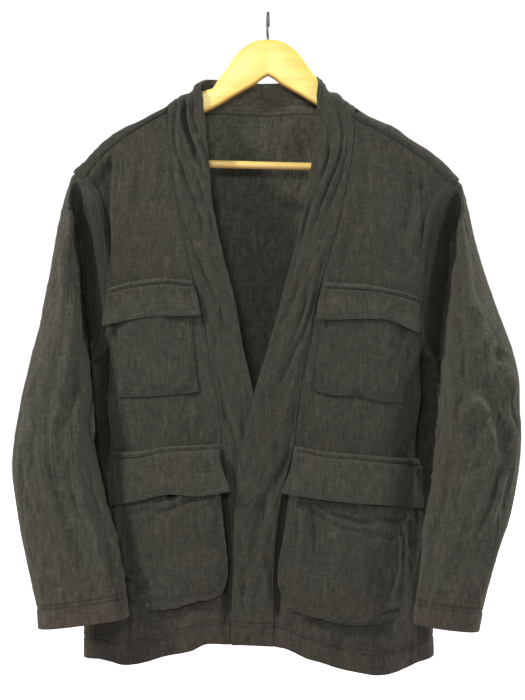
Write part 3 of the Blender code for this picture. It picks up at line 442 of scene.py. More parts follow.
# Folds of the sleeves that only show, as turns round the tube in thousandths
# (0 outer edge, 250 front, 500 inner edge) and thousandths of its length. Those at the
# back are the same on both sleeves.
SLEEVE_BEHIND = ((560, 300, 590, 600, 14, 2.0), (640, 240, 660, 560, 13, -1.8),
                 (720, 300, 700, 640, 14, 1.9), (800, 220, 780, 520, 13, -1.7),
                 (880, 260, 850, 620, 14, 1.8), (600, 620, 620, 900, 13, -1.6),
                 (690, 660, 720, 930, 13, 1.6), (780, 640, 760, 900, 13, -1.5),
                 (930, 500, 900, 800, 12, 1.5), (500, 640, 530, 900, 13, 1.4))
SLEEVE_FINE = {
    RIGHT: table(
        "a0 s0 a1 s1 wide deep",
        (60, 160, 90, 520, 11, 1.6), (110, 120, 150, 480, 13, -1.5),
        (170, 200, 200, 620, 11, 1.4), (240, 260, 250, 700, 14, -1.6),
        (300, 330, 270, 640, 11, 1.5), (360, 420, 320, 820, 13, -1.5),
        (410, 380, 380, 620, 11, 1.4), (30, 520, 70, 760, 11, 1.6),
        (130, 620, 160, 900, 12, 1.3), (200, 700, 230, 940, 12, -1.4),
        (290, 740, 280, 950, 10, 1.2), (20, 330, 45, 420, 9, 2.4), (985, 380, 20, 460, 9, 2.0),
        (440, 560, 400, 900, 12, 1.4), (250, 470, 234, 740, 10, -2.6),
        (30, 230, 97, 410, 8, 2.6), (180, 690, 190, 860, 9, 2.4), (330, 600, 300, 780, 10, 2.0),
        (120, 800, 140, 950, 8, 1.8), (390, 760, 350, 900, 9, -2.0), *SLEEVE_BEHIND),
    LEFT: table(
        "a0 s0 a1 s1 wide deep",
        (60, 120, 80, 420, 11, 1.5), (120, 140, 160, 430, 13, -1.5),
        (190, 180, 200, 460, 11, 1.4), (250, 240, 240, 520, 12, 1.5),
        (320, 300, 300, 560, 13, -1.5), (380, 360, 360, 700, 12, 1.5),
        (20, 430, 180, 470, 14, 1.1), (30, 500, 200, 540, 13, 1.2), (50, 600, 190, 690, 12, 2.0),
        (90, 470, 230, 510, 12, -0.8), (980, 470, 60, 530, 12, 1.0),
        (150, 700, 190, 920, 12, 1.4), (240, 640, 230, 900, 12, 1.6),
        (300, 660, 290, 920, 12, -1.5), (60, 740, 90, 930, 11, 1.4),
        (440, 560, 410, 900, 12, 1.4), (298, 505, 155, 780, 9, -3.4),
        (262, 500, 135, 750, 9, 3.2), (230, 440, 300, 520, 10, 1.4), (100, 620, 60, 700, 8, 2.2),
        (190, 780, 210, 940, 8, 2.0), (130, 800, 120, 940, 8, 2.0),
        (350, 700, 330, 900, 10, -2.0), (60, 560, 20, 640, 9, 1.6), *SLEEVE_BEHIND),
}
# Folds of the hip pockets and of the flaps, in thousandths of their width (from
# the outer side) and height.
HIP_FOLDS = {
    RIGHT: table(
        "u0 v0 u1 v1 wide deep",
        (140, 330, 400, 350, 30, 1.1), (400, 350, 800, 285, 28, 1.1),
        (600, 300, 760, 400, 34, 0.8), (520, 228, 610, 226, 34, 3.6),
        (60, 780, 330, 840, 30, 1.5), (700, 150, 620, 420, 30, -1.2),
        (300, 420, 360, 700, 40, 0.9), (560, 500, 620, 860, 40, -0.9),
        (820, 300, 860, 720, 30, 0.9), (180, 880, 460, 930, 26, -1.3)),
    LEFT: table(
        "u0 v0 u1 v1 wide deep",
        (80, 285, 420, 320, 24, 1.2), (300, 325, 760, 345, 26, 1.3),
        (420, 375, 900, 300, 24, -0.9), (520, 400, 940, 290, 24, 1.2),
        (120, 400, 520, 440, 30, 0.9), (160, 330, 120, 820, 34, 1.5),
        (420, 420, 380, 800, 40, 0.9), (640, 460, 700, 840, 40, -0.9),
        (930, 260, 900, 660, 24, -1.4), (860, 240, 820, 560, 26, 1.4),
        (60, 880, 260, 930, 24, 1.4)),
}
FLAP_FOLDS = table(
    "u0 v0 u1 v1 wide deep",
    (150, 300, 260, 900, 50, 0.6), (420, 260, 380, 860, 60, -0.6), (660, 300, 720, 960, 50, 0.7),
    (880, 260, 840, 900, 40, -0.6))


# ---------------------------------------------------------------- helpers
def follow(keys, values, at):
    """Smooth curve through a table's rows, with Catmull-Rom slopes, level past both ends."""
    if keys[0] > keys[-1]:
        keys, values = keys[::-1], values[::-1]
    steps = np.diff(keys)
    slope = np.empty_like(values)
    slope[1:-1] = (values[2:] - values[:-2]) / (keys[2:] - keys[:-2])
    slope[0] = (values[1] - values[0]) / steps[0]
    slope[-1] = (values[-1] - values[-2]) / steps[-1]
    at = np.clip(at, keys[0], keys[-1])
    i = np.clip(np.searchsorted(keys, at) - 1, 0, len(steps) - 1)
    h = steps[i]
    t = (at - keys[i]) / h
    return (values[i] * (1 + 2 * t) * (1 - t) ** 2 + h * slope[i] * t * (1 - t) ** 2
            + values[i + 1] * t * t * (3 - 2 * t) + h * slope[i + 1] * t * t * (t - 1))


def along(rows, t):
    """Every column of a table at shares t of its rows."""
    place = np.linspace(0, 1, len(next(iter(rows.values()))))
    return {name: follow(place, values, t) for name, values in rows.items()}


def ease(t):
    """0 to 1 with level ends."""
    t = np.clip(t, 0, 1)
    return t * t * (3 - 2 * t)


def ramp(distance, start, wide):
    """0 up to a start, going over to 1 over a width, both in millimetres."""
    return ease((distance - start * MM) / (wide * MM))


def bell(distance, wide):
    """1 at no distance, falling to 0 on both sides as a normal curve."""
    return np.exp(-(distance / wide) ** 2)


def bump(distance, start, end, soft):
    """1 between two distances, with soft sides."""
    return ease((distance - start) / soft + 0.5) * ease((end - distance) / soft + 0.5)


def sided(x, tables, key, value, at_right, at_left):
    """A table's value, from the right side's rows where x is negative, else the left side's."""
    return np.where(x < 0, follow(tables[RIGHT][key], tables[RIGHT][value], at_right),
                    follow(tables[LEFT][key], tables[LEFT][value], at_left))


def unevenness(a, b, size_a, size_b, seed):
    """Smooth random hills between -1 and 1 over the plane (a, b): the values of a random
    lattice, size_a by size_b wide, joined by eased steps.
    """
    lattice = np.random.default_rng(seed).uniform(-1, 1, (97, 97))
    a, b = np.asarray(a) / size_a + 400, np.asarray(b) / size_b + 400
    i, j = np.floor(a).astype(int), np.floor(b).astype(int)
    s, t = ease(a - i), ease(b - j)
    near = lattice[i % 97, j % 97] * (1 - s) + lattice[(i + 1) % 97, j % 97] * s
    far = lattice[i % 97, (j + 1) % 97] * (1 - s) + lattice[(i + 1) % 97, (j + 1) % 97] * s
    return near * (1 - t) + far * t


def crinkle(a, b, seed):
    """Crinkle of washed wool: slubs that run down the cloth, and softer hills."""
    lean = 4 * MM * unevenness(a, b, 30 * MM, 40 * MM, seed + 6)
    return (0.26 * MM * unevenness(a + lean, b, 4 * MM, 17 * MM, seed)
            + 0.26 * MM * unevenness(a + lean, b, 9 * MM, 30 * MM, seed + 1)
            + 0.20 * MM * unevenness(a, b, 7 * MM, 7.5 * MM, seed + 3)
            + 0.40 * MM * unevenness(a + b * 0.3, b, 16 * MM, 15 * MM, seed + 4)
            + 1.7 * MM * unevenness(a, b, 27 * MM, 60 * MM, seed + 2))


def creases(a, b, size, long, seed):
    """Long sharp ridges that wander down the cloth in patches, each with a hollow on both
    sides, from 0 to 1 high: where smooth hills, size by long, pass through zero.
    """
    lean = 0.8 * size * unevenness(a, b, 3 * size, 0.7 * long, seed + 7)
    hill = np.abs(unevenness(a + lean, b, size, long, seed))
    patch = ease(0.5 + 0.9 * unevenness(a, b, 4 * size, 1.3 * long, seed + 8))
    return patch * (bell(hill, 0.13) - 0.5 * bell(hill - 0.4, 0.16))


def folds(rows, a, b, turn=0.0):
    """Soft folds: a bell across each line from its first to its second point, with a
    shallow rise beside it, bent a little and tapering to both ends. turn is the
    distance after which a comes round again.
    """
    total = np.zeros(np.broadcast(a, b).shape)
    for a0, b0, a1, b1, wide, deep in zip(*rows.values()):
        da, db = a - a0, b - b0
        if turn:
            da = (da + turn / 2) % turn - turn / 2
            a1 = a0 + (a1 - a0 + turn / 2) % turn - turn / 2
        run = np.array([a1 - a0, b1 - b0])
        length = np.hypot(*run)
        t = (da * run[0] + db * run[1]) / length ** 2
        across = (da * run[1] - db * run[0]) / length + 0.05 * length * np.sin(t * 5)
        taper = np.sqrt(np.clip(np.sin(np.clip(t * 0.9 + 0.05, 0, 1) * math.pi), 0, 1))
        taper = taper * ease(t * 4 + 0.6) * ease((1 - t) * 4 + 0.6)
        width = wide * (0.75 + 0.5 * t)
        total += deep * taper * (bell(across, width) - 0.45 * bell(across - 1.9 * width, width))
    return total


# ----------------------------------------------------- the body's surface
def shoulder_z(x):
    """Height of the shoulder line over x."""
    return sided(x, SHOULDER, "out", "z", -x, x)


def side_profile(x, z):
    """1 over the middle of the body, falling to 0 at the side seam, as a squared ellipse."""
    half = sided(x, SIDE, "z", "half", z, z)
    power = follow(SQUARE["z"], SQUARE["power"], z)
    share = np.clip(np.abs(x) / half, 0, 1)
    return (1 - share ** power) ** (1 / power)


def fold_depth(face, x, z):
    """The face's large folds: a bell across each fold's line, fading at its ends."""
    total = np.zeros(np.broadcast(x, z).shape)
    for x0, z0, x1, z1, wide, deep in zip(*FOLDS[face].values()):
        run = np.array([x1 - x0, z1 - z0])
        t = np.clip(((x - x0) * run[0] + (z - z0) * run[1]) / (run @ run), 0, 1)
        away = np.hypot(x - x0 - t * run[0], z - z0 - t * run[1])
        total += deep * bell(away, wide)
    return total


def lap(x, z):
    """How far the left front is carried out, to lie over the right one."""
    return LAP * ramp(-x, -70, 60) * ramp(-z, 370, 70)


def body_y(face, x, z, left_front=False):
    """Inner side of the cloth: a roll over the hanger, then the fall, rounded to the side seam."""
    below = np.maximum(shoulder_z(x) - z, 0)
    roll = np.sqrt(np.maximum(ROLL ** 2 - (ROLL - np.minimum(below, ROLL)) ** 2, 0))
    depth = np.where(below < ROLL, roll, follow(FALL["below"], FALL[face], below))
    profile = side_profile(x, z)
    fade = ease((below - ROLL) / (40 * MM)) * ease(profile * 2 - 0.8)
    y = depth * profile - fold_depth(face, x, z) * fade
    if left_front:
        y = y + lap(x, z)
    return -y if face == "front" else y


def way(below):
    """The way p over the fold that reaches a depth below the shoulder line."""
    in_roll = ROLL * np.arccos(np.clip(1 - below / ROLL, -1, 1))
    return np.where(below < ROLL, in_roll, below - ROLL + ROLL * math.pi / 2)


def body_points(flat, lift=0.0):
    """Points of the body's cloth from an array of (x, p), moved out by lift.

    p is the way over the shoulder fold: 0 on the shoulder line, growing down
    the back and negative down the front.
    """
    def surface(x, p):
        """A quarter of a round of radius ROLL over the shoulder line, then straight down."""
        turn = np.minimum(np.abs(p) / ROLL, math.pi / 2)
        below = ROLL * (1 - np.cos(turn)) + np.maximum(np.abs(p) - ROLL * math.pi / 2, 0)
        z = shoulder_z(x) - below
        y = np.where(p < 0, body_y("front", x, z), body_y("back", x, z))
        return np.stack([x, y, z], -1)

    x, p = flat[..., 0], flat[..., 1]
    if not lift:
        return surface(x, p)
    step = MM
    normal = np.cross(surface(x + step, p) - surface(x - step, p),
                      surface(x, p + step) - surface(x, p - step))
    return surface(x, p) + lift * normal / np.linalg.norm(normal, axis=-1)[..., None]


def front_points(side, x, z, lift=0.0):
    """Points of a front at (x, z), moved out from the cloth's inner side by lift."""
    def surface(px, pz):
        """The front's inner side, the left one carried out by its lap."""
        return body_y("front", px, pz, side == LEFT)

    step = 2 * MM
    slope_x = (surface(x + step, z) - surface(x - step, z)) / (2 * step)
    slope_z = (surface(x, z + step) - surface(x, z - step)) / (2 * step)
    length = np.sqrt(1 + slope_x ** 2 + slope_z ** 2)
    return np.stack([x + lift * slope_x / length, surface(x, z) - lift / length,
                     z + lift * slope_z / length], -1)


def front_relief(side, x, z):
    """How far the folds and the crinkle carry a front's cloth out, fading to its seams."""
    from_band = (x - band_x(side, "seam", z)) * side
    edge = ramp(from_band, 0, 14) * ramp(shoulder_z(x) - z, 12, 20)
    long_ones = 0.55 * MM * creases(x, z, 15 * MM, 80 * MM, 15 + side)
    return edge * (crinkle(x, z, 11 + side) + long_ones
                   - 1.8 * folds(FINE_FOLDS["front"], x, z))


def fall(side, x, z):
    """How far a front's side hangs back below the waist, with the pocket on it."""
    out, edge = x * side, side_x(side, z) * side
    low = ramp(-z, 490, 70)
    return (13 * MM * low * ramp(out - edge, -66, 44)
            * ramp(edge - out, 0, 15))


# ------------------------------------------------------------- the pieces
def armhole_x(side, face, z):
    """x of an armhole's seam on a face, by height."""
    return side * follow(ARMHOLE[side, face]["z"], ARMHOLE[side, face]["out"], z)


def side_x(side, z):
    """x of a side seam, by height."""
    return side * follow(SIDE[side]["z"], SIDE[side]["half"], z)


def hem_z(face, x):
    """Height of a face's hem, by x."""
    return follow(HEM["x"], HEM[face], x)


def band_x(side, edge, z):
    """x of a band's seam or free edge, by height."""
    return follow(BAND[side]["z"], BAND[side][edge], z)


def forward_seam(side, t):
    """Forward shoulder seam as (x, z), from the band to the armhole."""
    z0, z1 = FORWARD[side]["neck_z"], FORWARD[side]["tip_z"]
    x0, x1 = band_x(side, "seam", z0), armhole_x(side, "front", z1)
    x = x0 + (x1 - x0) * t
    drop0, drop1 = shoulder_z(x0) - z0, shoulder_z(x1) - z1
    return x, shoulder_z(x) - drop0 - (drop1 - drop0) * t ** 2


def side_shares(columns):
    """Columns closer together towards the side."""
    u = np.linspace(0, 1, columns + 1)
    return 0.35 * u + 0.65 * np.sin(u * math.pi / 2)


def front_outer(side):
    """Armhole and side seam of a front as (x, z), row by row."""
    tip = FORWARD[side]["tip_z"] - SEAM
    t = np.linspace(0, 1, ARMHOLE_ROWS + 1)
    arm = tip + (UNDERARM_Z - tip) * (0.5 * t + 0.5 * np.sin(t * math.pi / 2))
    low = np.linspace(UNDERARM_Z, LOW_OUT[side], SIDE_ROWS + 1)[1:]
    z = np.concatenate([arm, low])
    return np.where(z >= UNDERARM_Z, armhole_x(side, "front", z), side_x(side, z)), z


def front_inner(side):
    """Band seam of a front as (x, z), row by row."""
    rows = ARMHOLE_ROWS + SIDE_ROWS
    z = np.linspace(FORWARD[side]["neck_z"] - SEAM, LOW_IN[side], rows + 1)
    return band_x(side, "seam", z), z


def front_flat(side):
    """Front as (x, z): a Coons patch between its band, outer and shoulder seams and its hem."""
    first = np.stack(front_inner(side), -1)[None]
    last = np.stack(front_outer(side), -1)[None]
    u = side_shares(FRONT_COLUMNS)[:, None, None]
    v = np.linspace(0, 1, first.shape[1])[None, :, None]
    x, z = forward_seam(side, u[..., 0])
    top = np.stack([x, z - SEAM], -1)
    x = first[0, -1, 0] + (last[0, -1, 0] - first[0, -1, 0]) * u[..., 0]
    bottom = np.stack([x, hem_z("front", x)], -1)
    corners = ((1 - u) * (1 - v) * top[:1] + u * (1 - v) * top[-1:]
               + (1 - u) * v * bottom[:1] + u * v * bottom[-1:])
    return (1 - u) * first + u * last + (1 - v) * top + v * bottom - corners


def neck_shares():
    """Places round the neck: evenly across the back, then over the shoulder."""
    across = np.linspace(0, NECK_REACH, NECK_COLUMNS + 1)
    over = np.linspace(NECK_REACH, 1, CROSSING_COLUMNS + 1)
    return np.concatenate([across, over[1:]])


def back_rows():
    """Shares down the back: close over the shoulder fold, then wider."""
    places = np.concatenate([[0], np.cumsum(BACK_STEPS) / np.sum(BACK_STEPS)]) * SPLIT
    fine = np.linspace(0, len(BACK_STEPS), len(BACK_STEPS) * BACK_FINE + 1)
    upper = np.interp(fine, np.arange(len(places)), places)
    return np.concatenate([upper, np.linspace(SPLIT, 1, BACK_SIDE_ROWS + 1)[1:]])


def back_outer(side, v):
    """Armhole and side seam of the back as (x, p), with v in step with the way down."""
    tip_z, top_z = FORWARD[side]["tip_z"], SHOULDER_TIP[side][1]
    over = -way(shoulder_z(armhole_x(side, "front", tip_z)) - tip_z)
    under = way(shoulder_z(side_x(side, UNDERARM_Z)) - UNDERARM_Z)
    low = way(shoulder_z(side_x(side, LOW_OUT[side])) - LOW_OUT[side])
    p = np.where(v < SPLIT, over + (under - over) * v / SPLIT,
                 under + (low - under) * (v - SPLIT) / (1 - SPLIT))
    z_front = top_z + (tip_z - top_z) * p / over
    z_arm = top_z + (UNDERARM_Z - top_z) * np.clip(p / under, 0, 1)
    z_side = UNDERARM_Z + (LOW_OUT[side] - UNDERARM_Z) * (p - under) / (low - under)
    z = np.where(p < 0, z_front, np.where(v < SPLIT, z_arm, z_side))
    x = np.where(p < 0, armhole_x(side, "front", z),
                 np.where(v < SPLIT, armhole_x(side, "back", z), side_x(side, z)))
    return x, way(np.maximum(shoulder_z(x) - z, 0)) * np.sign(p)


def back_half(side, v):
    """One side of the back as (x, p), from the middle to its outer seams.

    Columns leave the neck and the forward seam and fan out at once to their
    places at the hem, so that they run away from the neck's steep side.
    """
    neck = along(NECK[side], neck_shares())
    seam_x, seam_z = forward_seam(side, side_shares(BACK_COLUMNS)[1:])
    x0 = np.concatenate([neck["seam_x"][:-1], [band_x(side, "seam", FORWARD[side]["neck_z"])],
                         seam_x])
    corner = way(shoulder_z(x0[-len(seam_x) - 1]) - FORWARD[side]["neck_z"])
    p0 = np.concatenate([neck["seam_p"][:-1], [-corner], -way(shoulder_z(seam_x) - seam_z)])
    counts = np.cumsum([0, NECK_COLUMNS, CROSSING_COLUMNS, BACK_COLUMNS])
    last = side_x(side, LOW_OUT[side])
    x1 = np.interp(np.arange(counts[-1] + 1), counts, [x0[0], last * 0.44, last * 0.64, last])
    p1 = way(shoulder_z(x1) - hem_z("back", x1))
    share = np.interp(np.arange(counts[-1] + 1), counts, [0, 0.3, 0.5, 1])[:, None]
    x0, p0, x1, p1, v = x0[:, None], p0[:, None], x1[:, None], p1[:, None], v[None]
    fan = 1 - (1 - v) ** 4
    edge_x, edge_p = back_outer(side, v)
    x = x0 + (x1 - x0) * fan + (edge_x - x0[-1] - (x1[-1] - x0[-1]) * fan) * share ** 3
    p = p0 + (p1 - p0) * v + (edge_p - p0[-1] - (p1[-1] - p0[-1]) * v) * share ** 3
    return np.stack([x, p], -1)


def band_base(side):
    """Band's inner side: straight lines from its seam to its free edge, bowed out by a
    squared sine, round the neck from the middle of the back, then down the chest to the
    hem on the front's surface.
    """
    u, t = np.meshgrid(np.linspace(0, 1, BAND_COLUMNS + 1), neck_shares(), indexing="ij")
    rows = along(NECK[side], t)
    seam = body_points(np.stack([rows["seam_x"], rows["seam_p"]], -1))
    free = np.stack([rows["free_x"], rows["free_y"], rows["free_z"]], -1)
    neck = seam + (free - seam) * u[..., None]
    out = np.sin(u * math.pi) ** 2 * 3 * MM
    neck[..., 1] += out * np.cos(np.clip(t * 1.6, 0, 1) * math.pi / 2)
    neck[..., 2] -= 0.7 * out * np.sin(np.clip(t * 1.3, 0, 1) * math.pi / 2)
    neck[..., 0] += np.where(t == 0, side * SEAM / 2, 0)

    x_seam, z_seam = front_inner(side)
    z_free = np.linspace(rows["free_z"][0, -1] - 12 * MM, LOW_IN[RIGHT], len(z_seam))
    x_free = band_x(side, "free", z_free)
    u = np.linspace(0, 1, BAND_COLUMNS + 1)[:, None]
    chest = front_points(side, x_seam + (x_free - x_seam) * u, z_seam + (z_free - z_seam) * u)
    points = np.concatenate([neck[:, :-1], chest], 1)
    inward = points[-1] - points[0]
    inward /= np.linalg.norm(inward, axis=-1)[:, None]
    gap = np.full(points.shape[1], SEAM)
    gap[:NECK_COLUMNS] = 2 * SEAM
    gap[NECK_COLUMNS:NECK_COLUMNS + CROSSING_COLUMNS + 1] = 4 * SEAM
    points[0] += inward * gap[:, None]
    return points


def armhole_ring(side):
    """Armhole seam as (x, p, z): down the front to the underarm, then up the back, evenly
    spaced there. Returns it and how many of its points are in front.
    """
    x, z = front_outer(side)
    x, z = x[:ARMHOLE_ROWS + 1], z[:ARMHOLE_ROWS + 1]
    front = np.stack([x, -way(shoulder_z(x) - z), z], -1)
    v = back_rows()[2 * BACK_FINE:len(BACK_STEPS) * BACK_FINE]
    x, p = back_outer(side, v)
    below = body_points(np.stack([x, p], -1))[:, 2]
    back = np.stack([x, p, below], -1)[::-1]
    gone = reach(body_points(back[:, :2])[:, None], 0)[:, 0]
    places = np.linspace(gone[1], gone[-1], SLEEVE_BACK)
    back = np.stack([np.interp(places, gone, back[:, k]) for k in range(3)], -1)
    return np.concatenate([front, back]), len(front)


def sleeve_edge(side, ring):
    """Edge of a sleeve on its armhole seam: moved from the body's inner side along the
    body's normal, and along the body's cloth away from its edge, both by how near a point
    is to the underarm.
    """
    inner = body_points(ring[:, :2])
    normal = (body_points(ring[:, :2], MM) - inner) / MM
    away = np.cross(normal, np.roll(inner, -1, 0) - np.roll(inner, 1, 0)) * side
    away /= np.linalg.norm(away, axis=-1)[:, None]
    low = np.where(ring[:, 2] < -400 * MM, 1 - ramp(np.abs(inner[:, 1]), 0, 50), 0)
    lift = np.interp(low, [0, 0.25, 1], [-0.3 * MM, -0.3 * MM, 2 * MM])
    shift = np.interp(low, [0, 0.1, 0.25, 1], [-1.2 * MM, -1 * MM, 1.2 * MM, 2 * MM])
    return inner + normal * lift[:, None] + away * shift[:, None]


def sleeve_base(side):
    """Outer side of a sleeve: a tube through the table's rings, sewn to the armhole.

    A ring is a squared ellipse between its outer and inner edges, with its own
    depth in front and behind, which leans over towards the body. Folds sink in as
    bells, and the first rings go over smoothly to the edge at the armhole. Returns
    the points and, for each, its share of the way round and along.
    """
    # Each point's place on the section, across it and in front or behind, and as a turn.
    ring, in_front = armhole_ring(side)
    top_z = SHOULDER_TIP[side][1]
    cx = np.clip(1 - 2 * (ring[:, 2] - top_z) / (UNDERARM_Z - top_z), -1, 1)[:, None]
    facing = np.where(np.arange(len(ring)) < in_front, 1, np.where(ring[:, 1] < 0, 1, -1))
    sy = facing[:, None] * (1 - np.abs(cx) ** SLEEVE_SQUARE) ** (1 / SLEEVE_SQUARE)
    a = np.arccos(cx) / (2 * math.pi)
    a = np.where(sy < 0, 1 - a, a)

    share = np.linspace(0, 1, SLEEVE_RINGS + 1)[None] ** 1.2
    rows = along(SLEEVE[side], share)
    sink = np.zeros(np.broadcast(a, share).shape)
    for a0, s0, a1, s1, wide, deep in SLEEVE_FOLDS[side]:
        run = np.array([a1 - a0, s1 - s0])
        turn = (a - a0 + 0.5) % 1 - 0.5
        t = np.clip((turn * run[0] + (share - s0) * run[1]) / (run @ run), 0, 1)
        away = np.hypot(turn - t * run[0], (share - s0 - t * run[1]) * 1.2)
        sink += deep * MM * bell(away, wide)

    # The section, fuller at the top and the underarm, with a valley in front.
    front, back = np.maximum(sy, 0), np.maximum(-sy, 0)
    half_x = (rows["outer"] - rows["inner"]) / 2
    half_z = (rows["z_outer"] - rows["z_inner"]) / 2
    underarm = ease((a - 0.34) / 0.12)
    full = 1 - ease((a - 0.02) / 0.2) + underarm
    out = ((rows["outer"] + rows["inner"]) / 2 + (half_x - sink * 0.7) * cx
           - rows["lean"] * np.sqrt(front) * (1 - underarm))
    forward = rows["front"] + np.maximum(32 * MM - rows["front"], 0) * full
    y = rows["mid"] - (forward - sink) * front + (rows["back"] - sink) * back
    clear = rows["mid"] + (rows["back"] - 7 * MM) * front
    y = np.where(front > 0, np.minimum(y + valley(a, share), np.maximum(clear, y)), y)
    z = (rows["z_outer"] + rows["z_inner"]) / 2 + half_z * cx
    tube = np.stack([side * out, y, z], -1)

    # Closer to the body beside the underarm, and sewn to the armhole.
    close = np.interp(share, (0.04, 0.083, 0.167, 0.25, 0.333, 0.417, 0.5),
                      (3, 7, 9.5, 10, 8, 3, 0)) * MM
    tube[..., 0] -= side * close * bump(a, 0.38, 0.62, 0.16)
    sewn = sleeve_edge(side, ring)[:, None]
    points = sewn + (tube - sewn) * ease(share * (len(SLEEVE[side]["mid"]) - 1))[..., None]
    return points, a + 0 * share, share + 0 * a


def valley(a, share):
    """How far a sleeve's cloth drops back between the armhole seam and its crest, as a
    V, and then beside the body.
    """
    beside = np.clip(np.minimum(share / 0.06, (0.16 - share) / 0.06), 0, 1)
    below = 26 * MM * bell(a - 0.42, 0.035) * bump(share, 0.09, 0.46, 0.14)
    return 60 * MM * beside * bump(a, 0.09, 0.455, 0.13) + below


def on_front(side, edges, u, v, lift, corner=0.0):
    """Piece on a front between its top and lower edges, lifted off it by lift(u, v).

    Its sides run straight between them, moved by the table of shifts down each
    side, and its lower corners are rounded by a share of its width.
    """
    turn = np.clip((v - 0.82) / 0.18, 0, 1)
    squeeze = corner * (1 - np.sqrt(np.maximum(1 - turn ** 2, 0))) * 2
    wide = 0.5 + (u - 0.5) * (1 - squeeze)
    top, low = along(edges["top"], wide), along(edges["low"], wide)
    bow = along(edges["bow"], v)
    x = top["x"] + (low["x"] - top["x"]) * v + bow["outer"] * (1 - wide) + bow["inner"] * wide
    z = top["z"] + (low["z"] - top["z"]) * v
    return front_points(side, x, z, lift(u, v) + 0.6 * front_relief(side, x, z)
                        - fall(side, x, z))


# ------------------------------------------------- cloth worked out finely
def unit(vector):
    """Vectors scaled to a length of 1."""
    return vector / np.maximum(np.linalg.norm(vector, axis=-1), 1e-12)[..., None]


def normals(points, facing, ring=False):
    """Unit normals of a grid from its differences, on the side that facing points to."""
    if ring:
        across = np.roll(points, -1, 0) - np.roll(points, 1, 0)
    else:
        across = np.gradient(points, axis=0)
    normal = unit(np.cross(across, np.gradient(points, axis=1)))
    turned = np.einsum("ijk,ijk->ij", normal, np.broadcast_to(facing, points.shape)) < 0
    return np.where(turned.mean() > 0.5, -1, 1) * normal


def reach(points, axis, backwards=False):
    """Distance of each point of a grid from its first one along an axis, or from its last."""
    steps = np.linalg.norm(np.diff(points, axis=axis), axis=-1)
    pad = [(0, 0), (0, 0)]
    pad[axis] = (0, 1) if backwards else (1, 0)
    if backwards:
        return np.pad(np.flip(np.cumsum(np.flip(steps, axis), axis), axis), pad)
    return np.pad(np.cumsum(steps, axis), pad)


def distances(grid):
    """Distances of a grid's points from its first and last column, first and last row."""
    return reach(grid, 0), reach(grid, 0, True), reach(grid, 1), reach(grid, 1, True)


def closed(points):
    """A ring's grid with its first column again after its last."""
    return np.concatenate([points, points[:1]])


def squares(index):
    """Faces between the neighbours of a grid of point numbers."""
    return np.stack([index[:-1, :-1], index[1:, :-1], index[1:, 1:], index[:-1, 1:]],
                    -1).reshape(-1, 4)


def mesh_of(name, points, faces):
    """Smooth mesh of four-sided faces."""
    mesh = bpy.data.meshes.new(name)
    mesh.vertices.add(len(points))
    mesh.vertices.foreach_set("co", points.ravel())
    mesh.loops.add(faces.size)
    mesh.loops.foreach_set("vertex_index", faces.ravel())
    mesh.polygons.add(len(faces))
    mesh.polygons.foreach_set("loop_start", np.arange(len(faces)) * 4)
    mesh.polygons.foreach_set("use_smooth", np.ones(len(faces), bool))
    mesh.update(calc_edges=True)
    return mesh


def put(name, mesh, material):
    """Object of a mesh, at the origin, riding on the one body."""
    piece = bpy.data.objects.new(name, mesh)
    bpy.context.scene.collection.objects.link(piece)
    mesh.materials.append(material)
    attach(piece, "root")
    return piece


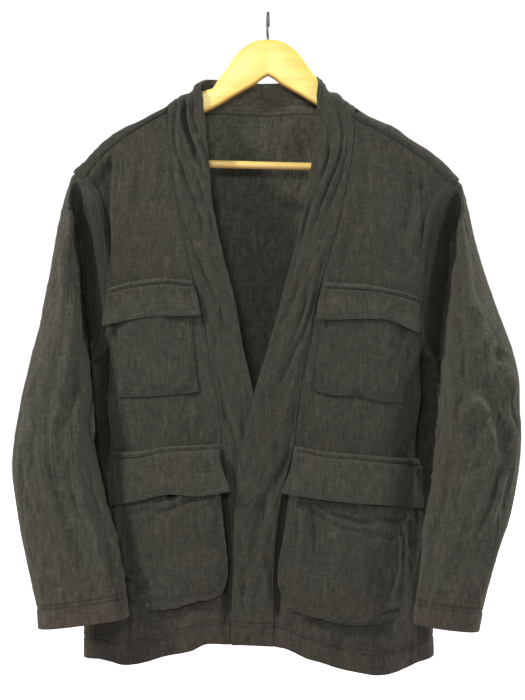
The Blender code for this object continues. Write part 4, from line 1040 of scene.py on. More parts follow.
def shell(name, outer, normal, wall, across, down, painted_light_and_shade=0.0, ring=False, grain=None,
          seam=FAR, join=FAR, hem=FAR):
    """Thin closed cloth: the outer grid, the grid a wall further in along the normals, and
    a half circle between the two at every point of an open edge. Returns the object.

    across and down are each point's place on the cloth laid flat. The finish reads the
    distances to the nearest stitched seam, joined edge and turned hem, how much painted
    light or painted shade the cloth takes, which is 1, painted light, on the inner side, and
    the place of its grain, which is the point itself unless another is given. The rim takes
    the values of the edge it closes.
    """
    size = outer.shape[:2]
    total = size[0] * size[1]
    index = np.arange(total).reshape(size)
    wall = np.broadcast_to(wall, size).reshape(-1, 1)
    normal = normal.reshape(-1, 3)
    points = [outer.reshape(-1, 3), outer.reshape(-1, 3) - normal * wall]
    face = squares(closed(index) if ring else index)
    a, b, c = (points[0][face[:, k]] for k in (0, 1, 3))
    facing = np.einsum("ij,ij->i", np.cross(b - a, c - a), normal[face[:, 0]])
    outward = 1 if facing.mean() > 0 else -1
    face = face[:, ::outward]
    faces = [face, face[:, ::-1] + total]
    source = [np.arange(total), np.arange(total)]

    if ring:
        open_edges = [index[:, 0], index[::-1, -1]]
    else:
        open_edges = [np.concatenate([index[:-1, 0], index[-1, :-1], index[:0:-1, -1],
                                      index[0, :0:-1]])]
    count = 2 * total
    for edge in open_edges:
        middle = (points[0][edge] + points[1][edge]) / 2
        run = unit(np.roll(middle, -1, 0) - np.roll(middle, 1, 0))
        out = unit(np.cross(run, normal[edge])) * outward
        rows = [edge]
        for turn in np.arange(1, RIM_STEPS) * math.pi / RIM_STEPS:
            points.append(middle + wall[edge] / 2 * (math.cos(turn) * normal[edge]
                                                     + math.sin(turn) * out))
            rows.append(np.arange(count, count + len(edge)))
            source.append(edge)
            count += len(edge)
        rows.append(edge + total)
        for high, low in zip(rows, rows[1:]):
            quads = np.stack([np.roll(high, -1), high, low, np.roll(low, -1)], -1)
            faces.append(quads[:, ::outward])
    points, faces, source = (np.concatenate(part) for part in (points, faces, source))

    mesh = mesh_of(name, points, faces)
    flat = np.stack([across, -down], -1).reshape(-1, 2)[source][faces]
    if ring:
        around = reach(closed(outer), 0)[-1].mean()
        split = np.ptp(flat[..., 0], axis=1) > around / 2
        flat[..., 0] += np.where(split[:, None] & (flat[..., 0] < around / 2), around, 0)
    mesh.uv_layers.new(name="cloth").data.foreach_set("uv", flat.ravel())
    marks = {"painted_light_and_shade": painted_light_and_shade, "seam": seam, "join": join, "hem": hem}
    for mark, values in marks.items():
        values = np.broadcast_to(values, size).reshape(-1)[source]
        # The cloth's inner side is painted paler, as painted light.
        if mark == "painted_light_and_shade":
            values[total:2 * total] = 1
        attribute = mesh.attributes.new(mark, "FLOAT", "POINT")
        attribute.data.foreach_set("value", values.astype(np.float32))
    grain = points if grain is None else grain.reshape(-1, 3)[source]
    attribute = mesh.attributes.new("grain", "FLOAT_VECTOR", "POINT")
    attribute.data.foreach_set("vector", grain.astype(np.float32).ravel())
    return put(name + "_cloth", mesh, WOOL)


def stitches(name, paths):
    """Short stitches along paths given as (points, normals): each a low five-sided bead of
    thread, half sunk in the cloth, as four rings whose middles and sizes are in BEAD.
    """
    points, faces, count = [], [], 0
    around = np.arange(5)
    bead = np.stack([around, (around + 1) % 5, (around + 1) % 5 + 5, around + 5], -1)
    bead = np.concatenate([bead, bead + 5, bead + 10])
    for line, normal in paths:
        along_it = reach(line[:, None], 0)[:, 0]
        number = int(along_it[-1] / STITCH_STEP)
        start = (np.arange(number) + 0.5) * along_it[-1] / number
        rings = []
        for shift, rise, size in BEAD:
            at = start + shift * STITCH_LONG
            centre = np.stack([np.interp(at, along_it, line[:, k]) for k in range(3)], -1)
            up = unit(np.stack([np.interp(at, along_it, normal[:, k]) for k in range(3)], -1))
            rings.append((centre + up * rise * STITCH_THICK, up, size * STITCH_THICK))
        run = unit(rings[-1][0] - rings[0][0])
        beads = [centre + size * (math.cos(turn) * np.cross(run, up) + 0.8 * math.sin(turn) * up)
                 for centre, up, size in rings for turn in around * 2 * math.pi / 5]
        points.append(np.stack(beads, 1).reshape(-1, 3))
        first = count + np.arange(number)[:, None, None] * len(beads)
        faces.append((first + bead[None]).reshape(-1, 4))
        count += number * len(beads)
    return put(name, mesh_of(name, np.concatenate(points), np.concatenate(faces)), THREAD)


def inset(outer, normal, axis, distance, backwards=False):
    """Line on a grid at a distance from its first row along an axis, with its normals."""
    if axis == 0:
        outer, normal = outer.swapaxes(0, 1), normal.swapaxes(0, 1)
    if backwards:
        outer, normal = outer[:, ::-1], normal[:, ::-1]
    gone = reach(outer, 1)
    at = np.array([np.searchsorted(row, distance) for row in gone]).clip(1, outer.shape[1] - 1)
    rows = np.arange(len(outer))
    before, after = gone[rows, at - 1], gone[rows, at]
    t = np.clip((distance - before) / np.maximum(after - before, 1e-9), 0, 1)[:, None]
    line, up = (values[rows, at - 1] * (1 - t) + values[rows, at] * t
                for values in (outer, normal))
    return line, unit(up)


# ------------------------------------------------------------ the cloth's pieces
def grooves(distance, rows, deep, wide):
    """Bells sunk in at each row of stitches."""
    return sum(deep * bell(distance - row, wide) for row in rows)


def raised(distance):
    """Rise of the allowance under a double-stitched edge, with a groove at each row."""
    rise = 0.8 * MM * (1 - ramp(distance - SEAM_WIDE, -1.6, 1.8))
    return rise - grooves(distance, STITCH_ROWS, 0.4 * MM, 0.8 * MM)


def dip(distance):
    """Cloth drawn in where two pieces are sewn together."""
    return 1.1 * MM * bell(distance, 1.7 * MM)


def turned_up(distance):
    """Shape of a turned hem: thicker below its stitching, which draws the cloth in."""
    return (0.5 * MM * (1 - ramp(distance - HEM_WIDE, -2.5, 3))
            - 1.4 * MM * bell(distance - HEM_ROWS[0], 1.4 * MM))


def doubled(from_hem):
    """Thickness that the turned hem adds to the wall."""
    return 1.0 * MM * ramp(HEM_WIDE - from_hem, 0, 3)


def puckers(place, distance, seed, step=11 * MM, reach_in=11 * MM):
    """Small puckers that start at a seam and run out over the cloth beside it."""
    return bell(distance, reach_in) * (
        0.55 * MM * unevenness(place, distance, step, 30 * MM, seed)
        + 0.30 * MM * unevenness(place, distance, step * 0.45, 14 * MM, seed + 40))


def stretched(rows, wide, long, width_by):
    """A fold table in shares of a piece, as metres over it."""
    scale = (wide, long, wide, long, width_by, 1.0)
    return {name: values * by for (name, values), by in zip(rows.items(), scale)}


def trough(side, x, z, from_arm, from_shoulder):
    """Deep narrow folds of a front: between its hip pocket and its band, down its side
    behind the sleeve, and beside the armhole below the shoulder.
    """
    out, edge = x * side, side_x(side, z) * side
    middle = band_x(side, "seam", z) + side * 5.5 * MM
    deep = 12 * MM * ramp(-z, 560, 70) * ramp(z, -795, 60)
    by_band = deep * bell(x - middle, 4.6 * MM)
    deep = 21 * MM * ramp(-z, 392, 50) * ramp(z, -640, 120)
    by_side = (deep * ramp(out - edge, -27, 9) * ramp(edge - out, 0, 10)
               * ramp(from_arm, 0, 16))
    start, high, deep = ARM_TROUGH[side]
    deep = deep * ramp(high - z, 0, 16) * ramp(z, -350, 60)
    by_arm = (deep * ramp(out - start, 0, 3.2) * ramp(from_arm, 0, 9)
              * ramp(from_shoulder, 4, 16))
    return by_band + by_side + by_arm


def front(side):
    """A front: its patch on the body's cloth, moved out by its folds, the raised allowance
    at the armhole, its turned hem and its puckers, and in by its troughs. The cloth is
    painted darker in the troughs and beside the sleeve, as painted shade.
    """
    flat = front_flat(side)
    x, z = flat[..., 0], flat[..., 1]
    base = front_points(side, x, z)
    across, from_side, down, from_hem = distances(base)
    from_arm = np.where(np.arange(x.shape[1]) <= ARMHOLE_ROWS + 4, from_side, FAR)
    sunk = trough(side, x, z, from_arm, down)
    relief = front_relief(side, x, z) * (0.25 + 0.75 * ramp(from_arm, 8, 14))
    relief += raised(from_arm) + turned_up(from_hem) - 0.6 * dip(across) - 0.8 * dip(down)
    relief -= sunk + fall(side, x, z)
    relief += puckers(down, from_arm, 31 + side) + puckers(down, across, 33 + side)
    relief += puckers(across, np.abs(from_hem - HEM_WIDE), 35 + side, 8 * MM)
    outer = front_points(side, x, z, CLOTH + relief)
    normal = normals(outer, FORWARDS)
    wall = CLOTH + np.maximum(relief, 0) * 0.4 + doubled(from_hem)
    # Painted shade beside the sleeve, where its shadow falls; the troughs are painted darker too,
    # as painted shade.
    painted_shade = FRONT_PAINTED_SHADE[side] * (1 - ramp(from_arm, 0, 24)) * ramp(-z, 200, 90)
    piece = shell("front_" + WORD[side], outer, normal, np.minimum(wall, 3.2 * MM), across, down,
                  painted_light_and_shade=-TROUGH_PAINTED_SHADE * sunk - painted_shade, seam=from_arm, hem=from_hem,
                  join=np.minimum(np.minimum(across, from_arm), down))
    upper = (slice(None), slice(0, ARMHOLE_ROWS + 1))
    lines = [inset(outer[upper], normal[upper], 0, row, True) for row in STITCH_ROWS]
    lines += [inset(outer, normal, 1, row, True) for row in HEM_ROWS]
    return piece, outer, lines


def back():
    """The back: its patch over the shoulders, moved out along its normals by its folds, the
    raised allowances at the forward seams and the armholes, its turned hem and its puckers.
    """
    v = back_rows()
    flat = np.concatenate([back_half(RIGHT, v)[::-1], back_half(LEFT, v)[1:]])
    way_down = flat[..., 1]
    points = body_points(flat)
    points[..., 1] += np.where(way_down > 0, SEAM / 2, 0) * ease(v * 8)
    x, z = points[..., 0], points[..., 2]
    across, from_left, down, from_hem = distances(points)
    side_in = np.minimum(across, from_left)
    neck = NECK_COLUMNS + CROSSING_COLUMNS
    half, arm_rows = neck + BACK_COLUMNS, len(BACK_STEPS) * BACK_FINE
    over_shoulder = np.abs(np.arange(2 * half + 1) - half)[:, None] >= neck - 1
    from_shoulder = np.where(over_shoulder, down, FAR)
    from_arm = np.where(np.arange(len(v)) <= arm_rows + 4, side_in, FAR)
    relief = (crinkle(x, way_down, 51) + 0.7 * MM * creases(x, way_down, 15 * MM, 80 * MM, 61)
              - 1.6 * folds(FINE_FOLDS["back"], x, z) * ramp(way_down, 30, 40))
    relief *= ramp(down, 4, 14) * ramp(side_in, 3, 16)
    relief += raised(from_shoulder) + turned_up(from_hem)
    relief += 0.5 * raised(from_arm) - 0.5 * dip(side_in)
    relief += puckers(across, from_shoulder, 53) + puckers(down, side_in, 55)
    relief += puckers(across, np.abs(from_hem - HEM_WIDE), 57, 8 * MM)
    facing = np.stack([0 * x, np.where(way_down > 20 * MM, 1.0, 0), 0 * x], -1)
    outer = points + normals(points, facing) * (CLOTH + relief)[..., None]
    normal = normals(outer, facing)
    piece = shell("back", outer, normal, CLOTH + doubled(from_hem), across, down,
                  seam=np.minimum(from_shoulder, from_arm), hem=from_hem,
                  join=np.minimum(down, from_arm))
    lines = [inset(outer, normal, 1, HEM_ROWS[0], True)]
    for row in STITCH_ROWS:
        for part in (slice(0, half - neck + 1), slice(half + neck, None)):
            lines.append(inset(outer[part], normal[part], 1, row))
        for far_side in (True, False):
            lines.append(inset(outer[:, :arm_rows + 1], normal[:, :arm_rows + 1], 0, row,
                               far_side))
    return piece, outer, lines


def band(side):
    """A folded band: moved out along its normals by its folds and puckers, drawn in at its
    seam and beside its free edge. Its grain runs along it.
    """
    base = band_base(side)
    neck = NECK_COLUMNS + CROSSING_COLUMNS
    facing = np.zeros_like(base)
    facing[:, neck + 4:, 1] = -1
    across, to_free, down, from_hem = distances(base)
    width = (across + to_free).mean()
    place = np.linspace(0, width, len(base))[:, None]
    fine = stretched(BAND_FOLDS[side], width, 1.0, 1.0)
    relief = (0.8 * crinkle(across + 0.05 * down, down, 71 + side)
              + 1.1 * MM * unevenness(across + 0.03 * down, down, 5.5 * MM, 55 * MM, 73 + side)
              + 1.5 * MM * creases(across, down, 10 * MM, 60 * MM, 77 + side)
              - 2.4 * folds(fine, place, down))
    relief *= ramp(across, 0, 7) * ramp(to_free, 0, 6)
    relief += puckers(down, across, 75 + side, 9 * MM, 8 * MM) + 0.4 * turned_up(from_hem)
    relief -= 0.7 * dip(across) + 0.3 * MM * bell(to_free - BAND_ROW, 0.9 * MM)
    relief *= ramp(from_hem, 0, 2) * 0.6 + 0.4
    outer = base + normals(base, facing) * (BAND_CLOTH + relief)[..., None]
    normal = normals(outer, facing)
    piece = shell("band_" + WORD[side], outer, normal, BAND_CLOTH * 0.8, across, down,
                  grain=np.stack([across, 0 * across, -down], -1), join=across, hem=from_hem)
    lines = [inset(outer, normal, 0, BAND_ROW, True), inset(outer, normal, 0, 1.6 * MM),
             inset(outer[:, neck:], normal[:, neck:], 1, HEM_ROWS[0], True)]
    return piece, outer, lines


def sleeve(side):
    """A sleeve: its tube, moved out along its normals by its folds, which fade at its
    armhole, its underarm and its cuff, by its full head and by its turned cuff. The cloth
    is painted paler on the sleeve, as painted light, and painted darker in the fold beside
    the armhole, as painted shade.
    """
    base, around, share = sleeve_base(side)
    down, from_cuff = reach(base, 1), reach(base, 1, True)
    centre = base.mean(0)[None]
    wide, long = reach(closed(base), 0)[-1].mean(), down[:, -1].mean()
    place, height = around * wide, base[..., 2]
    round_a = 60 * MM * np.cos(around * 2 * math.pi)
    round_b = 60 * MM * np.sin(around * 2 * math.pi)
    slant = base[..., 0] + base[..., 1]
    hills = (0.9 * crinkle(place, height, 91 + side)
             + 0.28 * MM * unevenness(round_a + down * 0.1, round_b + down * 0.5,
                                      9 * MM, 14 * MM, 93 + side)
             + 1.1 * MM * unevenness(round_a + down * 0.35, round_b - down * 0.3,
                                     24 * MM, 30 * MM, 95 + side)
             + 1.3 * MM * creases(slant, height, 10 * MM, 70 * MM, 101 + side)
             + 0.8 * MM * creases(slant + 0.5 * height, height, 9 * MM, 34 * MM, 103 + side))
    fade = ramp(down, 6, 30) * (0.35 + 0.65 * ramp(from_cuff, 0, 22))
    calm = 0.35 + 0.65 * ease((0.5 - np.abs(around - 0.5) - 0.02) / 0.08)
    fine = stretched(SLEEVE_FINE[side], wide, long, 1.0)
    relief = fade * calm * (hills - 2.3 * folds(fine, place, down, wide))
    relief += turned_up(from_cuff)
    relief += puckers(place, np.abs(from_cuff - HEM_WIDE), 97 + side, 8 * MM)
    relief += puckers(place, down, 99 + side, 17 * MM, 20 * MM) * ramp(down, 0, 6)
    head = ease(1 - np.minimum(around, 1 - around) / 0.12)
    relief += 1.8 * MM * head * bell(down - 9 * MM, 8 * MM)
    relief *= ramp(down, 0, 8)
    outer = base + normals(base, base - centre, True) * relief[..., None]
    normal = normals(outer, outer - centre, True)
    # Painted light over the sleeve, and painted shade in the fold beside the armhole.
    in_fold = bump(around, 0.11, 0.455, 0.10) * ease(share / 0.012) * ease((0.17 - share) / 0.07)
    painted_light_and_shade = SLEEVE_PAINTED_LIGHT[side] - (SLEEVE_PAINTED_LIGHT[side] + SLEEVE_PAINTED_SHADE[side]) * in_fold
    piece = shell("sleeve_" + WORD[side], outer, normal, 1.8 * MM + doubled(from_cuff), place,
                  -outer[..., 2], painted_light_and_shade=painted_light_and_shade, ring=True, join=down, hem=from_cuff)
    line, up = inset(outer, normal, 1, HEM_ROWS[0], True)
    return piece, outer, [(closed(line), closed(up))]


def edged(columns, rows):
    """Shares of a piece across and down, closer together at its edges."""
    def shares(count):
        """Half of an even step and half of a cosine's."""
        t = np.linspace(0, 1, count + 1)
        return 0.5 * t + 0.5 * (0.5 - 0.5 * np.cos(t * math.pi))
    return np.meshgrid(shares(columns), shares(rows), indexing="ij")


def laid_on(side, name, corners, divisions, lift, wall, relief, rows, strip=False, **shape):
    """A pocket or flap over a front: its surface, lifted off the front by lift(u, v) and
    moved out by relief, which reads the distances from its outer side, top, inner side,
    lower edge and nearest sewn edge.

    rows are the distances of its topstitching from those edges. A strip adds two rows at
    the top, and no seam's wear below them; a piece with a strip is painted paler all over,
    as painted light, and paler on the strip, as wear and a painted highlight, with painted
    shade in the groove at its lower row.
    """
    u, v = edged(*divisions)
    base = on_front(side, corners, u, v, lambda a, b: CLOTH + SEWN + wall + lift(a, b), **shape)
    left, right, up, down = distances(base)
    edge = np.minimum(np.minimum(left, right), down)
    outer = base + normals(base, FORWARDS) * relief(left, up, right, down, edge)[..., None]
    normal = normals(outer, FORWARDS)
    if len(rows) == 2:
        seam = np.interp(edge, [0, *rows, 1], [0, *STITCH_ROWS, 1])
    else:
        seam = np.where(edge < rows[0] + 1.7 * MM, edge + STITCH_ROWS[0] - rows[0], FAR)
    join = edge + 0.6 * MM
    # The strip is painted paler, as wear and a painted highlight, with painted shade in the groove
    # at its lower row.
    if strip:
        seam = np.where((up > 1.2 * MM) & (up < 6.8 * MM), 0.7 * MM, seam)
        join = np.minimum(join, 0.45 * np.abs(up - STRIP_ROWS[1]))
    # A flap with its strip is painted paler all over, as painted light.
    piece = shell(name, outer, normal, wall, left, up, painted_light_and_shade=FLAP_PAINTED_LIGHT if strip else 0, seam=seam,
                  join=np.minimum(join, 1))
    lines = [inset(outer, normal, 1, row) for row in STRIP_ROWS if strip]
    for row in rows:
        lines += [inset(outer, normal, 0, row), inset(outer, normal, 0, row, True),
                  inset(outer, normal, 1, row, True)]
    return piece, outer, lines


def chest_pocket(side):
    """A patch pocket: swelling a little between its sewn edges, moved out by its turned
    edges, less a groove at each row of stitches, and by crinkle, creases and puckers.
    """
    def lift(u, v):
        """A bulge that eases to nothing at all four edges."""
        return CHEST_BULGE * (ease(u / RIM) * ease((1 - u) / RIM) * ease((1 - v) / RIM)
                              * ease(v / RIM))

    def relief(left, up, right, down, edge):
        """The turned edge's rise, less the stitches' grooves, and softer forms inside it."""
        rise = 0.5 * MM * (1 - ramp(edge, 6.0, 1.5))
        soft = (1.2 * crinkle(left, up, 111 + side)
                + 0.7 * MM * creases(left, up, 12 * MM, 45 * MM, 117 + side)
                + 0.6 * MM * unevenness(left, up, 30 * MM, 55 * MM, 113 + side))
        return (rise - grooves(edge, PATCH_ROWS, 0.35 * MM, 0.7 * MM)
                + soft * ramp(edge, 0, 10)
                + 1.7 * puckers(left + up, edge, 115 + side, 9 * MM))

    return laid_on(side, "chest_pocket_" + WORD[side], CHEST_POCKET[side], (64, 72), lift,
                   CLOTH * 0.9, relief, PATCH_ROWS)


def flap(side, name, corners, high, belly, curl, seed):
    """A folded flap: a raised strip along its stitched top, then its fall, which stands
    high(u) off the front, swells by belly(u) and curls at its lower corners, most at the
    outer one.
    """
    def lift(u, v):
        """Off the front soon below the top, then the belly and the two corners' curls."""
        outer_curl = curl * ease((v - 0.45) / 0.55) ** 1.5 * ease((0.28 - u) / 0.28)
        inner_curl = 0.25 * curl * ease((v - 0.5) / 0.5) * ease((u - 0.8) / 0.2)
        return high(u) * ease(v * 4.2) + belly(u) * v + outer_curl + inner_curl

    def relief(left, up, right, down, edge):
        """The strip between two eased steps, a groove at its stitches and a soft ridge below
        them, then the turned edge, grooves, crinkle and folds, and waves across the fall.
        """
        strip = 2.4 * MM * bump(up, 0.6 * MM, 7.2 * MM, 1.6 * MM) * ramp(up, 0, 1.2)
        strip *= 0.3 + 0.7 * ramp(np.minimum(left, right), 0, 4)
        strip -= 2.0 * MM * bell(up - STRIP_ROWS[1], 1.3 * MM)
        strip += 1.1 * MM * bell(up - 12.5 * MM, 2.6 * MM)
        rise = 0.3 * MM * (1 - ramp(edge, 5.8, 1.5))
        wide, tall = (left + right).mean(), (up + down).mean()
        fine = stretched(FLAP_FOLDS, wide, tall, wide)
        return (strip + rise - grooves(edge, FLAP_ROWS, 0.3 * MM, 0.7 * MM)
                + 1.1 * crinkle(left, up, seed + side) * ramp(edge, 0, 6)
                - 2.0 * folds(fine, left, up) * ramp(edge, 0, 4)
                + 0.8 * MM * unevenness(left, 0 * up, 16 * MM, 1, seed + 5 + side)
                * ramp(up, 14, 20))

    return laid_on(side, name, corners, (72, 40), lift, FLAP_CLOTH * 0.9, relief, FLAP_ROWS,
                   True)


def hip_full(u):
    """Height of the bellows across the pocket, higher on its inner side."""
    return HIP_BULGE_OUTER + (HIP_BULGE - HIP_BULGE_OUTER) * ease(u * 1.6)


def hip_pocket(side):
    """Face of a bellows pocket: it stands off to its folded edge, less at its mouth and
    towards its foot, moved out by crinkle, creases, folds and puckers.
    """
    def lift(u, v):
        """The bellows' height, half at the mouth, and less near its edges and its foot."""
        mouth = 0.5 + 0.5 * ease(v * 1.8)
        edge = np.minimum(np.minimum(u, 1 - u) * 8, (1 - v) * 9)
        return hip_full(u) * mouth * (0.62 + 0.38 * ease(edge)) * (1 - 0.25 * v ** 6)

    def relief(left, up, right, down, edge):
        """Softer forms away from the edges, less grooves and folds, with puckers added."""
        wide, tall = (left + right).mean(), (up + down).mean()
        fine = stretched(HIP_FOLDS[side], wide, tall, wide)
        soft = (1.1 * crinkle(left, up, 131 + side)
                + 0.6 * MM * creases(left, up, 16 * MM, 60 * MM, 137 + side)
                + 0.9 * MM * unevenness(left, up, 34 * MM, 60 * MM, 133 + side))
        return (soft * ramp(edge, 0, 9) - grooves(edge, HIP_ROWS, 0.3 * MM, 0.8 * MM)
                - 2.6 * folds(fine, left, up) * ramp(edge, 0, 5)
                + 1.6 * puckers(left + up, edge, 135 + side, 9 * MM))

    return laid_on(side, "hip_pocket_" + WORD[side], HIP_POCKET[side], (96, 120), lift,
                   CLOTH * 0.9, relief, HIP_ROWS, corner=HIP_CORNER[side])


def hip_gusset(side, outer):
    """Pleat between a hip pocket's edge and the front: straight lines from the one to the
    other, drawn in under the pocket by half a sine.
    """
    rim = np.concatenate([outer[0, :-1], outer[:-1, -1], outer[-1, ::-1]])
    smooth = rim.copy()
    for _ in range(3):
        smooth[1:-1] = (smooth[:-2] + smooth[2:]) / 4 + smooth[1:-1] / 2
    inward = unit(np.cross(unit(np.gradient(smooth, axis=0)), FORWARDS))
    middle = outer.mean((0, 1))
    inward *= np.sign(np.einsum("ij,ij->i", inward, middle - rim)).mean()
    x, z = rim[:, 0], rim[:, 2]
    ground = front_points(side, x, z, CLOTH + 0.9 * MM - fall(side, x, z)) + inward * 2.0 * MM
    start = rim - FORWARDS * 1.9 * MM + inward * 2.2 * MM
    t = np.linspace(0, 1, 13)[:, None]
    tuck = inward[:, None] * 6.5 * MM * np.sin(t * math.pi)
    points = start[:, None] + (ground - start)[:, None] * t + tuck
    facing = -np.broadcast_to(inward[:, None], points.shape)
    piece = shell("hip_gusset_" + WORD[side], points, normals(points, facing), 1.0 * MM,
                  reach(points, 0), reach(points, 1))
    return piece, points, []


# -------------------------------------------------------------- materials
class Nodes:
    """Short ways to add shader nodes to a tree."""

    def __init__(self, tree):
        """Keep the tree that the nodes go in."""
        self.tree = tree

    def fill(self, node, values):
        """Link each input that is given a socket, and set the others."""
        for socket, value in values.items():
            if isinstance(value, bpy.types.NodeSocket):
                self.tree.links.new(value, node.inputs[socket])
            else:
                node.inputs[socket].default_value = value
        return node

    def add(self, kind, values, **settings):
        """A node of a kind, with its settings and inputs."""
        node = self.tree.nodes.new("ShaderNode" + kind)
        for key, value in settings.items():
            setattr(node, key, value)
        return self.fill(node, values)

    def place(self):
        """Point of the object, in metres."""
        return self.add("TexCoord", {}).outputs["Object"]

    def mark(self, name, output="Fac"):
        """Value that a mesh holds at its points."""
        return self.add("Attribute", {}, attribute_name=name).outputs[output]

    def height_of(self, vector):
        """Third part of a vector."""
        return self.add("SeparateXYZ", {0: vector}).outputs[2]

    def maths(self, operation, first, second=0.0, third=0.0):
        """One sum on values."""
        return self.add("Math", {0: first, 1: second, 2: third}, operation=operation).outputs[0]

    def away(self, value, row):
        """Distance of a value from a row."""
        return self.maths("ABSOLUTE", self.maths("SUBTRACT", value, row))

    def span(self, value, start, end, first, last):
        """first to last as the value goes from start to end, and level beyond."""
        return self.add("MapRange", {"Value": value, "From Min": start, "From Max": end,
                                     "To Min": first, "To Max": last}).outputs[0]

    def noise(self, place, scale, detail=2.0, rough=0.5, stretch=(1, 1, 1)):
        """Cloudy values around 0.5."""
        moved = self.add("Mapping", {"Vector": place, "Scale": stretch}).outputs[0]
        return self.add("TexNoise", {"Vector": moved, "Scale": scale, "Detail": detail,
                                     "Roughness": rough}).outputs[0]

    def bumps(self, *rows):
        """Normal bent by one height after another, each with its distance and strength."""
        values = {}
        for height, distance, strength in rows:
            values |= {"Height": height, "Distance": distance, "Strength": strength}
            values["Normal"] = self.add("Bump", values).outputs[0]
        return values["Normal"]

    def times(self, color, factor):
        """Colour scaled by a value."""
        return self.add("VectorMath", {0: color, 3: factor}, operation="SCALE").outputs[0]

    def mix(self, factor, first, second):
        """The first colour, going over to the second."""
        return self.add("Mix", {0: factor, 6: first, 7: second}, data_type="RGBA").outputs[2]


def new_material(name):
    """A material, and its nodes with a way to fill its surface's inputs."""
    material = bpy.data.materials.new(name)
    material.use_nodes = True
    nodes = Nodes(material.node_tree)
    surface = material.node_tree.nodes["Principled BSDF"]
    return material, nodes, lambda values: nodes.fill(surface, values)


def wool_material():
    """Heathered wool: a fine weave of two sines bent by noise, slubs down and across the
    cloth, painted shade with some dirt at joined edges and painted shade in the grooves of
    the rows of stitches and the hem, lighter where seams wear, with a painted highlight at
    their edges, painted light and shade as each piece marks it, and reddish towards its hems.
    """
    material, n, surface = new_material("washed wool")
    grain, place = n.mark("grain", "Vector"), n.place()
    seam, join, hem, painted_light_and_shade = (n.mark(name) for name in ("seam", "join", "hem", "painted_light_and_shade"))
    split = n.add("SeparateXYZ", {0: grain})
    u, v = n.maths("ADD", split.outputs[0], split.outputs[1]), split.outputs[2]
    bent = n.noise(grain, 60.0, 2.0)
    warp, weft = (n.maths("SINE", n.maths("MULTIPLY_ADD", way_on, 2 * math.pi / step,
                                          n.maths("MULTIPLY", bent, bend)))
                  for way_on, step, bend in ((u, WARP_STEP, 9.0), (v, WEFT_STEP, 7.0)))
    weave = n.maths("MULTIPLY", warp, weft)
    slub, thick, cross = (n.noise(grain, 1.0, 3.0, 0.6, stretch) for stretch in
                          ((420, 420, 85), (190, 190, 42), (90, 90, 330)))
    heather = n.noise(place, 1500.0, 2.0, 0.7)
    cloud = n.noise(place, 7.0, 3.0, 0.55)
    fleck = n.noise(place, 420.0, 2.0, 0.6)

    light = n.span(slub, 0.3, 0.7, 0.72, 1.28)
    for spots, start, end, first, last in (
            (thick, 0.3, 0.7, 0.69, 0.99), (cross, 0.3, 0.7, 0.78, 1.22),
            (cloud, 0.3, 0.7, 0.92, 1.08), (heather, 0.3, 0.7, 0.86, 1.14),
            (weave, -1, 1, 0.93, 1.07), (fleck, 0.66, 0.74, 1.0, 1.35)):
        light = n.maths("MULTIPLY", light, n.span(spots, start, end, first, last))
    # Paler at a seam's edge, as wear and a painted highlight, with painted shade in the grooves of
    # its rows of stitches, and paler on the worn crest of its allowance.
    wear_and_painted_light = n.span(seam, 0.0, 0.0013, 0.35, 0.0)
    for row in STITCH_ROWS:
        wear_and_painted_light = n.maths("SUBTRACT", wear_and_painted_light, n.span(n.away(seam, row), 0.0, 0.0014, 0.5, 0.0))
    wear_and_painted_light = n.maths("ADD", wear_and_painted_light, n.span(n.away(seam, SEAM_CREST), 0.0008, 0.0028, 0.09, 0.0))
    light = n.maths("MULTIPLY", light, n.maths("ADD", wear_and_painted_light, 1.0))
    # Painted shade, with some dirt, in the groove where pieces are joined.
    light = n.maths("MULTIPLY", light, n.span(join, 0.0, 0.0016, 0.58, 1.0))
    # Painted shade in the grooves of the hem's rows of stitches.
    for row in HEM_ROWS:
        light = n.maths("MULTIPLY", light, n.span(n.away(hem, row), 0.0, 0.0018, 0.5, 1.0))
    # Painted light and painted shade from each piece's mark: paler on sleeves, flaps and the inner
    # side, darker in troughs and folds.
    light = n.maths("MULTIPLY", light, n.maths("MULTIPLY_ADD", painted_light_and_shade, 0.9, 1.0))

    low = n.maths("MULTIPLY", n.span(n.height_of(place), -0.80, -0.66, 0.5, 0.0),
                  n.span(n.noise(place, 16.0, 2.0), 0.4, 0.6, 0.0, 1.0))
    faded = n.maths("MAXIMUM", n.span(hem, 0.0, 0.05, 0.85, 0.0), low)
    tone = n.mix(n.span(cloud, 0.35, 0.65, 0, 1), WOOL_WARM, WOOL_COOL)
    tone = n.mix(n.span(thick, 0.56, 0.72, 0, 0.6), tone, WOOL_SLUB)
    tone = n.mix(faded, tone, WOOL_FADED)
    surface({"Base Color": n.times(tone, light),
             "Normal": n.bumps((thick, 0.0024, 0.8), (slub, 0.0015, 0.8), (cross, 0.0011, 0.8),
                               (weave, 0.00012, 0.7), (heather, 0.00025, 0.6)),
             "Roughness": 0.94, "Specular IOR Level": 0.25, "Sheen Weight": 0.12,
             "Sheen Roughness": 0.55, "Sheen Tint": (0.9, 0.88, 0.8, 1)})
    return material


def thread_material():
    """Sewing thread: two dark tones in small clouds."""
    material, n, surface = new_material("sewing thread")
    surface({"Base Color": n.mix(n.noise(n.place(), 260.0), THREAD_DARK, THREAD_PALE),
             "Roughness": 0.7, "Sheen Weight": 0.2})
    return material


